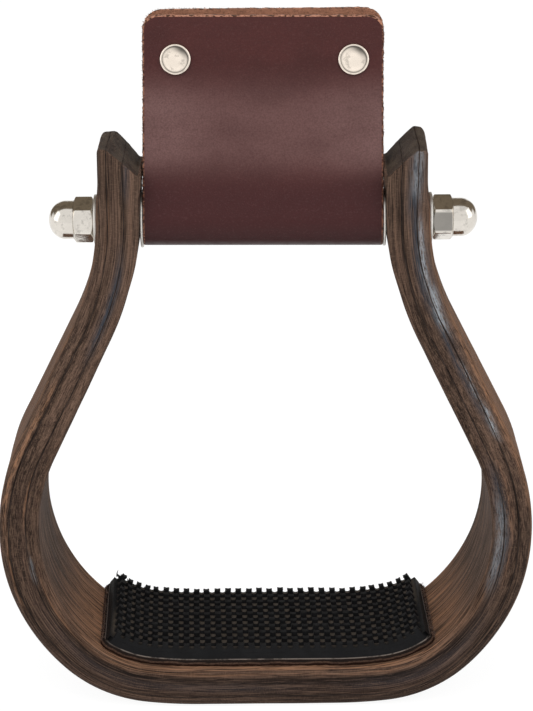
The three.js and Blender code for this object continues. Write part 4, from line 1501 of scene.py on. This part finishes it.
class STIRRUP_OT_cross_rod(bpy.types.Operator):
    """Fit the washers and acorn nuts, and finish the rod and its sleeve"""

    bl_idname = "stirrup.cross_rod"
    bl_label = "Cross Rod"
    bl_options = {"REGISTER", "UNDO"}

    def execute(self, context):
        wood, metal = context.scene.stirrup_wood, context.scene.stirrup_hardware
        nickel = plated_metal("polished_nickel", metal.nickel, 0.12, 0.2 * MM, 0.08, 0.3)
        zinc = plated_metal("zinc_plate", metal.zinc, 0.45, 0.05 * MM, 0.2)
        arm = wood.arm_gap / 2 - float(arm_swell(wood, metal.rod_height))
        outside = wood.arm_gap / 2 + wood_thickness(wood)
        seat = outside + metal.washer_thick
        height = Matrix.Translation((0, 0, metal.rod_height))
        inside = metal.rod_hole / 2
        for name, side in SIDES:
            about = Matrix.Rotation(math.pi, 4, "Z") if side < 0 else Matrix.Identity(4)
            turned = metal.left_turn if side < 0 else metal.right_turn
            reach = metal.inner_washer / 2
            inner = washer_mesh(f"inner_disc_{name}", reach, inside, arm - metal.inner_thick, arm)
            outer = washer_mesh(f"outer_disc_{name}", metal.outer_washer / 2, inside, outside, seat)
            nut = nut_mesh(f"dome_nut_{name}", metal)
            spin = Matrix.Rotation(-side * turned, 4, "X")
            if side > 0:
                self.dull_front(nut, metal)
            nut.transform(Matrix.Translation((seat, 0, 0)) @ spin)
            for mesh, node, finish, slot in (
                (inner, f"inner_washer_{name}", zinc, "zinc_plate"),
                (outer, f"outer_washer_{name}", zinc, "zinc_plate"),
                (nut, f"acorn_nut_{name}", nickel, "nickel_plate"),
            ):
                mesh.transform(height @ about)
                smooth(mesh, 32)
                piece = new_object(mesh.name, mesh, [finish])
                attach(piece, "frame")
                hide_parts(node)
        self.finish_node("cross_rod", threaded_zinc("threaded_zinc", metal.zinc))
        self.finish_node("rod_sleeve", plated_metal("drawn_zinc_tube", metal.zinc, 0.3, 0.03 * MM, 0.3))
        return {"FINISHED"}

    @staticmethod
    def dull_front(nut, metal):
        """Tarnish on the flat that faces the front."""
        places = places_of(nut)
        turned = np.degrees(np.arctan2(places[:, 2], -places[:, 1]))
        to_dome = metal.nut_hex - places[:, 0]
        flat = smoothstep(np.abs(turned), 27, 23) * smoothstep(to_dome, 0, 0.6 * MM)
        hold(nut, "smudge_and_shade", 0.68 * flat)

    @staticmethod
    def finish_node(node, finish):
        """Gives a carried-over solid its finish."""
        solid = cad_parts[node]
        solid.data.materials.clear()
        solid.data.materials.append(finish)


# Leather cover


def cover_run(cover):
    """The middle of the folded leather strip, and the distances of its front and back ends."""
    closing = cover.closing
    fold = (cover.fold_radius, 90 + math.degrees(closing))
    half_layer = (cover.slit + cover.thickness) / 2
    fold_end = BentRun(-cover.fold_radius, [fold]).end[0]
    inset = cover.ease_radius * (1 - math.cos(closing))
    slant = (fold_end - half_layer - inset) / math.sin(closing)
    bends = [fold, (0, slant), (-cover.ease_radius, math.degrees(closing))]
    flat = cover.back_height - BentRun(-cover.fold_radius, bends).end[1]
    run = BentRun(-cover.fold_radius, [*bends, (0, flat)])
    return run, -(run.length - (cover.back_height - cover.front_height)), run.length


def cover_place(cover, metal):
    """Turns the cover's own frame into the object's."""
    lean = Matrix.Rotation(-cover.lean, 4, "X") @ Matrix.Rotation(cover.tilt, 4, "Y")
    return Matrix.Translation((0, 0, metal.rod_height)) @ lean


class STIRRUP_OT_leather_cover(bpy.types.Operator):
    """Fold the leather round the sleeve and roughen its cut edges"""

    bl_idname = "stirrup.leather_cover"
    bl_label = "Leather Cover"
    bl_options = {"REGISTER", "UNDO"}

    def execute(self, context):
        cover, metal = context.scene.stirrup_cover, context.scene.stirrup_hardware
        run, first, last = cover_run(cover)
        half_width, half_thick = cover.width / 2, cover.thickness / 2
        turns = np.radians(np.linspace(0, 90, 14))
        front = first + cover.front_corner * (1 - np.sin(turns))
        back = last - cover.back_corner * (1 - np.sin(turns))
        middle = np.arange(front.max(), back.min(), 0.7 * MM)
        stations = np.unique(np.round(np.concatenate([front, middle, back]), 7))
        edge_turns = np.radians(np.linspace(0, 90, 5))
        grain_round, flesh_round = 0.55 * MM, 0.25 * MM
        falls, pulls = grain_round * (1 - np.cos(edge_turns)), grain_round * (1 - np.sin(edge_turns))
        outer = [(half_thick - fall, pull) for fall, pull in zip(falls, pulls)]
        inner = [(-half_thick, flesh_round), (-half_thick + flesh_round, 0.0)]
        walls = [(v * MM, 0.0) for v in (-0.8, -0.2, 0.4)]
        offsets, insets = (np.array(v) for v in zip(*inner, *walls, *outer[::-1]))
        close = np.array([0, 0.25, 0.6, 1.1, 1.9, 3.2, 5.5]) * MM / half_width
        spread = np.concatenate([-1 + close, np.linspace(-0.8, 0.8, 30), (1 - close)[::-1]])
        s, offset, t = np.meshgrid(stations, offsets, spread, indexing="ij")
        inset = np.broadcast_to(insets[None, :, None], s.shape)
        corner = np.where(s < 0, cover.front_corner, cover.back_corner)
        to_end = np.where(s < 0, s - first, last - s)
        half = rounded_end(half_width, corner, to_end)
        shrink = np.sign(s) * inset * smoothstep(to_end, 6 * MM, 0.0)
        width = t * (half - inset)
        rise = -cover.back_slope / 2 * width / half_width * smoothstep(s, last - 25 * MM, last)
        across, up = run.offset(s - shrink + rise, offset)
        mesh, _, ways = block_mesh("cover_leather", np.stack([-width, across, up], -1))
        self.uneven(mesh, cover, run, first, last)
        is_grain = (ways[:, 0] == 1) & (ways[:, 1] > 0)
        is_flesh = (ways[:, 0] == 1) & (ways[:, 1] < 0)
        kinds = np.where(is_grain, 0, np.where(is_flesh, 1, 2))
        mesh.polygons.foreach_set("material_index", kinds.astype(np.int32))
        grain = dyed_leather("oxblood_grain_leather", cover)
        flesh = raw_leather("flesh_side_leather", cover.flesh)
        edge = cut_cover_edge("cut_edge_leather", cover)
        leather = new_object("folded_cover", mesh, [grain, flesh, edge])
        for side in (-1, 1):
            radius, reach = cover.rivet_hole / 2, cover.width / 4
            hole = lathe("hole", [(-reach, 0), (-reach, radius), (reach, radius), (reach, 0)], 40, "Y")
            across = side * cover.rivet_spacing / 2 + cover.rivet_shift
            hole.transform(Matrix.Translation((across, 0, cover.rivet_height)))
            cut(leather, hole)
        self.hold_edges(leather.data, cover, run, first, last)
        leather.data.transform(cover_place(cover, metal))
        smooth(leather.data, 55)
        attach(leather, "cover")
        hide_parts("leather_cover")
        self.fuzz(cover, metal, run, first, last, edge)
        return {"FINISHED"}

    @staticmethod
    def edge_distance(places, cover, run, first, last):
        """Whether a point is in front, its offset, and how far it is from the side, end and edge."""
        s, offset = run.nearest(places[:, 1], places[:, 2])
        corner = np.where(s < 0, cover.front_corner, cover.back_corner)
        to_end = np.where(s < 0, s - first, last - s)
        to_side = cover.width / 2 - np.abs(places[:, 0])
        in_corner = (to_side < corner) & (to_end < corner)
        reach = np.hypot(corner - to_side, corner - to_end)
        edge = np.where(in_corner, corner - reach, np.minimum(to_side, to_end))
        return s < 0, offset, to_side, to_end, edge

    def uneven(self, mesh, cover, run, first, last):
        """Ragged cut edges and a rough flesh side."""
        places, normals = places_of(mesh), normals_of(mesh)
        _, offset, _, _, edge = self.edge_distance(places, cover, run, first, last)
        at_edge = smoothstep(edge, 0.5 * MM, 0.05 * MM)
        coarse = wander(places, (1.6 * MM, 1.6 * MM, 1.3 * MM), 1.0)
        ragged = wander(places, (0.6 * MM, 0.6 * MM, 0.55 * MM), 6.0)
        depth = at_edge * (0.14 * coarse + 0.2 * ragged) * MM
        flesh = smoothstep(offset, -cover.thickness / 2 + 0.1 * MM, -cover.thickness / 2)
        nap = np.clip(wander(places, (0.8 * MM, 0.8 * MM, 0.8 * MM), 4.0), -1, 0)
        depth = depth + flesh * nap * 0.18 * MM
        move_points(mesh, places + normals * depth[:, None])

    def hold_edges(self, mesh, cover, run, first, last):
        """Keeps where the grain side gets a painted highlight along its rounded top edges, a painted sheen at
        its middle and painted shade low down, where its sides are dark, where the front layer's top cut edge
        gets a painted highlight, and where the cut edge is dyed.
        """
        places = places_of(mesh)
        in_front, _, to_side, to_end, edge = self.edge_distance(places, cover, run, first, last)
        near = np.where(to_end < 7 * MM, edge, 1.0)
        # Painted highlight along the rounded top edges.
        hold(mesh, "rim", smoothstep(near, 0.5 * MM, 0.14 * MM))
        hold(mesh, "side", 0.4 * smoothstep(to_side, 1.3 * MM, 0.1 * MM) * smoothstep(to_end, 5 * MM, 9 * MM))
        up = places[:, 2]
        middle = smoothstep(up, 9 * MM, 23 * MM) * smoothstep(up, 50 * MM, 32 * MM)
        # Painted shade low on the flap, where the fold turns down.
        hold(mesh, "low", smoothstep(up, 19 * MM, 6 * MM))
        # Painted highlight on the front layer's top cut edge.
        hold(mesh, "front", np.where(in_front, smoothstep(to_end, 3 * MM, 1 * MM), 0.0))
        hold(mesh, "dyed", smoothstep(to_end, 2 * MM, 7 * MM))
        # Painted sheen on the middle of the flap, stronger towards its sides.
        hold(mesh, "sheen_and_wear", middle * (0.62 + 0.38 * smoothstep(np.abs(places[:, 0]), 12 * MM, 34 * MM)))

    @staticmethod
    def fuzz(cover, metal, run, first, last, finish):
        """Loose fibres along the cut edges."""
        random = np.random.default_rng(3)
        roots, ways, lengths = [], [], []
        for _ in range(900):
            along = first + random.random() * (last - first)
            side = 1 if random.random() < 0.55 else -1
            to_end = along - first if along < 0 else last - along
            corner = cover.front_corner if along < 0 else cover.back_corner
            half = float(rounded_end(cover.width / 2, corner, to_end))
            through = (random.random() * 1.5 - 0.9) * cover.thickness / 2
            across, up = run.offset(np.array([along]), np.array([through]))
            roots.append((-side * (half - 0.1 * MM), across[0], up[0]))
            ways.append((-side, random.normal() * 0.5, random.normal() * 0.6))
            lengths.append((0.2 + 0.55 * random.random() ** 2) * MM)
        for end, corner in ((first, cover.front_corner), (last, cover.back_corner)):
            for _ in range(240):
                width = (random.random() * 2 - 1) * (cover.width / 2 - corner)
                through = (random.random() * 1.5 - 0.9) * cover.thickness / 2
                across, up = run.offset(np.array([end]), np.array([through]))
                roots.append((width, across[0], up[0] - 0.1 * MM))
                ways.append((random.normal() * 0.6, random.normal() * 0.5, 1.0))
                lengths.append((0.12 + 0.35 * random.random() ** 2) * MM)
        mesh = fibres("cover_edge_fibres", roots, ways, lengths, 0.08 * MM, random)
        below = cover.front_height - places_of(mesh)[:, 2]
        hold(mesh, "dyed", 0.6 * smoothstep(below, 1 * MM, 6 * MM))
        mesh.transform(cover_place(cover, metal))
        fuzz = new_object("cover_edge_fibres", mesh, [finish])
        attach(fuzz, "cover")


# Profile of a rivet's head from its foot to its groove, in millimetres: height, and inset from the rim.
RIVET_RIM = (
    (0.02, 0.25),
    (0.2, 0.04),
    (0.45, 0.0),
    (0.75, 0.03),
    (1.0, 0.16),
    (1.1, 0.38),
    (1.06, 0.6),
    (0.92, 0.76),
    (0.9, 0.86),
    (0.98, 1.0),
)


class STIRRUP_OT_rivets(bpy.types.Operator):
    """Set the two rivets that close the leather cover"""

    bl_idname = "stirrup.rivets"
    bl_label = "Rivets"
    bl_options = {"REGISTER", "UNDO"}

    def execute(self, context):
        cover, metal = context.scene.stirrup_cover, context.scene.stirrup_hardware
        finish = plated_metal("rivet_nickel", metal.rivet, 0.14, 0.2 * MM, 0.1, 0.35)
        face = cover.slit / 2 + cover.thickness
        radius, crown, post = metal.rivet_cap / 2, metal.rivet_crown, metal.rivet_post / 2
        rim = [(height * MM, radius - inset * MM) for height, inset in RIVET_RIM]
        dome = [
            (crown - (crown - 1.02 * MM) * share**2.4, (radius - 1.1 * MM) * share)
            for share in np.linspace(1, 0, 12)
        ]
        head = [(0.02 * MM, 0.0), *rim, *dome]
        for name, side in SIDES:
            across = side * cover.rivet_spacing / 2 + cover.rivet_shift
            cap = lathe(f"rivet_head_{name}", head, 128, "Y")
            cap.transform(Matrix.Rotation(math.pi, 4, "Z"))
            cap.transform(Matrix.Translation((across, -face, cover.rivet_height)))
            tail = -(2 * face - 0.1 * MM)
            stem = [(tail, 0.0), (tail, post - 0.1 * MM), (tail + 0.1 * MM, post), (0.02 * MM, post)]
            pin = lathe(f"rivet_stem_{name}", [*stem, *rim, *dome], 128, "Y")
            pin.transform(Matrix.Translation((across, face, cover.rivet_height)))
            for mesh, node in ((cap, f"rivet_cap_{name}"), (pin, f"rivet_post_{name}")):
                self.smudge_and_shade(mesh, across, cover.rivet_height, face, radius)
                mesh.transform(cover_place(cover, metal))
                smooth(mesh, 40)
                piece = new_object(mesh.name, mesh, [finish])
                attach(piece, "cover")
                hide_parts(node)
        return {"FINISHED"}

    @staticmethod
    def smudge_and_shade(mesh, middle, height, face, radius):
        """Painted shade in the groove, a painted contact shadow round the foot of a head, and a painted
        reflection of something dark in its upper right quarter.
        """
        across, deep, up = (places_of(mesh) - (middle, 0, height)).T
        reach = np.hypot(across, up)
        # Painted shade in the groove between the rim and the dome.
        groove = np.exp(-(((reach - radius + 0.85 * MM) / (0.24 * MM)) ** 2))
        # Painted reflection of something dark in the upper right quarter of the dome.
        corner = np.exp(-(((np.arctan2(up, across) - math.radians(58)) / math.radians(48)) ** 2))
        painted_reflection = corner * smoothstep(reach, radius - 3.4 * MM, radius - 1.2 * MM)
        painted_reflection = painted_reflection * smoothstep(reach, radius - 0.6 * MM, radius - 0.8 * MM)
        # Painted contact shadow round the foot of the head.
        foot = smoothstep(np.abs(deep) - face, 0.7 * MM, 0.35 * MM)
        hold(mesh, "smudge_and_shade", np.clip(0.85 * groove + 0.9 * foot + 0.95 * painted_reflection, 0, 0.97))


# Stage

WHITE = (1.0, 1.0, 1.0)


class STIRRUP_OT_stage(bpy.types.Operator):
    """Set up the camera, the floor and soft studio light"""

    bl_idname = "stirrup.stage"
    bl_label = "Studio Stage"
    bl_options = {"REGISTER", "UNDO"}

    def execute(self, context):
        stage = context.scene.stirrup_stage
        self.camera(context, stage)
        self.lights(context, stage)
        self.world(context, stage)
        self.floor()
        context.scene.view_settings.view_transform = "Standard"
        return {"FINISHED"}

    @staticmethod
    def camera(context, stage):
        """The camera at the photograph's viewing angle."""
        data = bpy.data.cameras.new("photo_camera")
        data.sensor_width = 36
        data.lens = stage.lens
        data.clip_start, data.clip_end = 0.05, 20
        camera = bpy.data.objects.new("photo_camera", data)
        context.scene.collection.objects.link(camera)
        target = Vector((stage.target_across, 0, stage.target_height))
        look = Vector((0, math.cos(stage.elevation), -math.sin(stage.elevation)))
        turned = look.to_track_quat("-Z", "Y").to_matrix().to_4x4()
        roll = Matrix.Rotation(stage.roll, 4, "Z")
        camera.matrix_world = Matrix.Translation(target - look * stage.distance) @ turned @ roll
        context.scene.camera = camera

    @staticmethod
    def lights(context, stage):
        """A soft light in front and a weaker one at each side, placed by two angles and a distance.

        The rest of each entry is the light's width, its height and its share of the power.
        """
        middle = Vector((0, 0, 110 * MM))
        softboxes = (
            ("key_softbox", 0, 52, 1.5, 2.0, 1.2, 1.0),
            ("left_softbox", -72, 24, 1.5, 0.9, 1.2, 0.2),
            ("right_softbox", 72, 24, 1.5, 0.9, 1.2, 0.2),
        )
        for name, azimuth, elevation, distance, wide, high, share in softboxes:
            data = bpy.data.lights.new(name, "AREA")
            data.shape = "RECTANGLE"
            data.size, data.size_y = wide, high
            data.energy = stage.key_power * share
            light = bpy.data.objects.new(name, data)
            context.scene.collection.objects.link(light)
            a, e = math.radians(azimuth), math.radians(elevation)
            way = Vector((math.sin(a) * math.cos(e), -math.cos(a) * math.cos(e), math.sin(e)))
            light.location = middle + way * distance
            light.rotation_euler = (-way).to_track_quat("-Z", "Y").to_euler()
            light.visible_camera = False
            light.visible_glossy = name != "key_softbox"

    @staticmethod
    def world(context, stage):
        """Even light, and a white backdrop beside and above which metal sees the dim studio."""
        world = bpy.data.worlds.new("studio")
        context.scene.world = world
        nodes = Nodes(world)
        kinds, seen = nodes.backdrop_rays()
        place = nodes.node("ShaderNodeTexCoord", {}).outputs["Generated"]
        across, back, up = nodes.node("ShaderNodeSeparateXYZ", {0: place}).outputs
        past_top = nodes.sums("ADD", nodes.times(back, 0.985), nodes.times(up, 0.174))
        ceiling = nodes.times(nodes.window(past_top, 0.0, 0.08), nodes.window(up, 0.28, 0.36))
        beside = nodes.sums("ABSOLUTE", across)
        walls = nodes.times(nodes.window(beside, 0.3, 0.42), nodes.window(beside, 0.93, 0.8))
        walls = nodes.times(walls, nodes.window(back, 0.0, 0.1))
        dim = nodes.times(nodes.sums("MAXIMUM", ceiling, walls), kinds["Is Glossy Ray"])
        tint = nodes.blend(dim, WHITE, paint(118, 107, 92))
        even = nodes.node("ShaderNodeBackground", {"Color": WHITE, "Strength": stage.ambient})
        backdrop = nodes.node("ShaderNodeBackground", {"Color": tint, "Strength": 1.0})
        shown = nodes.node("ShaderNodeMixShader", {0: seen, 1: even.outputs[0], 2: backdrop.outputs[0]})
        nodes.node("ShaderNodeOutputWorld", {0: shown.outputs[0]})

    @staticmethod
    def floor():
        """A plain white floor that keeps the object's shadow."""
        reach, drop = 3.0, -0.15 * MM
        corners = [(-reach, -reach, drop), (reach, -reach, drop), (reach, reach, drop), (-reach, reach, drop)]
        mesh = bpy.data.meshes.new("studio_floor")
        mesh.from_pydata(corners, [], [(0, 1, 2, 3)])
        finish = bpy.data.materials.new("white_floor")
        nodes = Nodes(finish)
        _, seen = nodes.backdrop_rays()
        matt = nodes.node("ShaderNodeBsdfDiffuse", {"Color": (0.86, 0.86, 0.86)})
        glow = nodes.node("ShaderNodeEmission", {"Color": WHITE, "Strength": 1.14})
        share = nodes.times(seen, 0.82)
        shown = nodes.node("ShaderNodeMixShader", {0: share, 1: matt.outputs[0], 2: glow.outputs[0]})
        nodes.node("ShaderNodeOutputMaterial", {0: shown.outputs[0]})
        floor = new_object("studio_floor", mesh, [finish])


class STIRRUP_PT_panel(bpy.types.Panel):
    """Buttons that build the stirrup's pieces, and the settings of each"""

    bl_label = "Stirrup"
    bl_idname = "STIRRUP_PT_panel"
    bl_space_type = "VIEW_3D"
    bl_region_type = "UI"
    bl_category = "Stirrup"

    def draw(self, context):
        column = self.layout.column()
        for operator in OPERATORS:
            column.operator(operator.bl_idname)
        for name in GROUPS:
            box = self.layout.box()
            settings = getattr(context.scene, name)
            for key in settings.bl_rna.properties.keys():
                if key not in ("rna_type", "name"):
                    box.prop(settings, key)


GROUPS = {
    "stirrup_wood": StirrupWood,
    "stirrup_tread": StirrupTread,
    "stirrup_hardware": StirrupHardware,
    "stirrup_cover": StirrupCover,
    "stirrup_stage": StirrupStage,
}
OPERATORS = (
    STIRRUP_OT_stage,
    STIRRUP_OT_wood_layers,
    STIRRUP_OT_tread_pad,
    STIRRUP_OT_pin_mat,
    STIRRUP_OT_cross_rod,
    STIRRUP_OT_leather_cover,
    STIRRUP_OT_rivets,
)


def register():
    """Registers the classes and puts the property groups on the scene."""
    for group in (*GROUPS.values(), *OPERATORS, STIRRUP_PT_panel):
        bpy.utils.register_class(group)
    for name, group in GROUPS.items():
        setattr(bpy.types.Scene, name, PointerProperty(type=group))


def unregister():
    """Takes the property groups and the classes away again."""
    for name in GROUPS:
        delattr(bpy.types.Scene, name)
    for group in reversed((*GROUPS.values(), *OPERATORS, STIRRUP_PT_panel)):
        bpy.utils.unregister_class(group)


def main():
    """Registers the add-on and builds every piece."""
    register()
    bpy.ops.stirrup.stage()
    bpy.ops.stirrup.wood_layers()
    bpy.ops.stirrup.tread_pad()
    bpy.ops.stirrup.pin_mat()
    bpy.ops.stirrup.cross_rod()
    bpy.ops.stirrup.leather_cover()
    bpy.ops.stirrup.rivets()


if __name__ == "__main__":
    main()
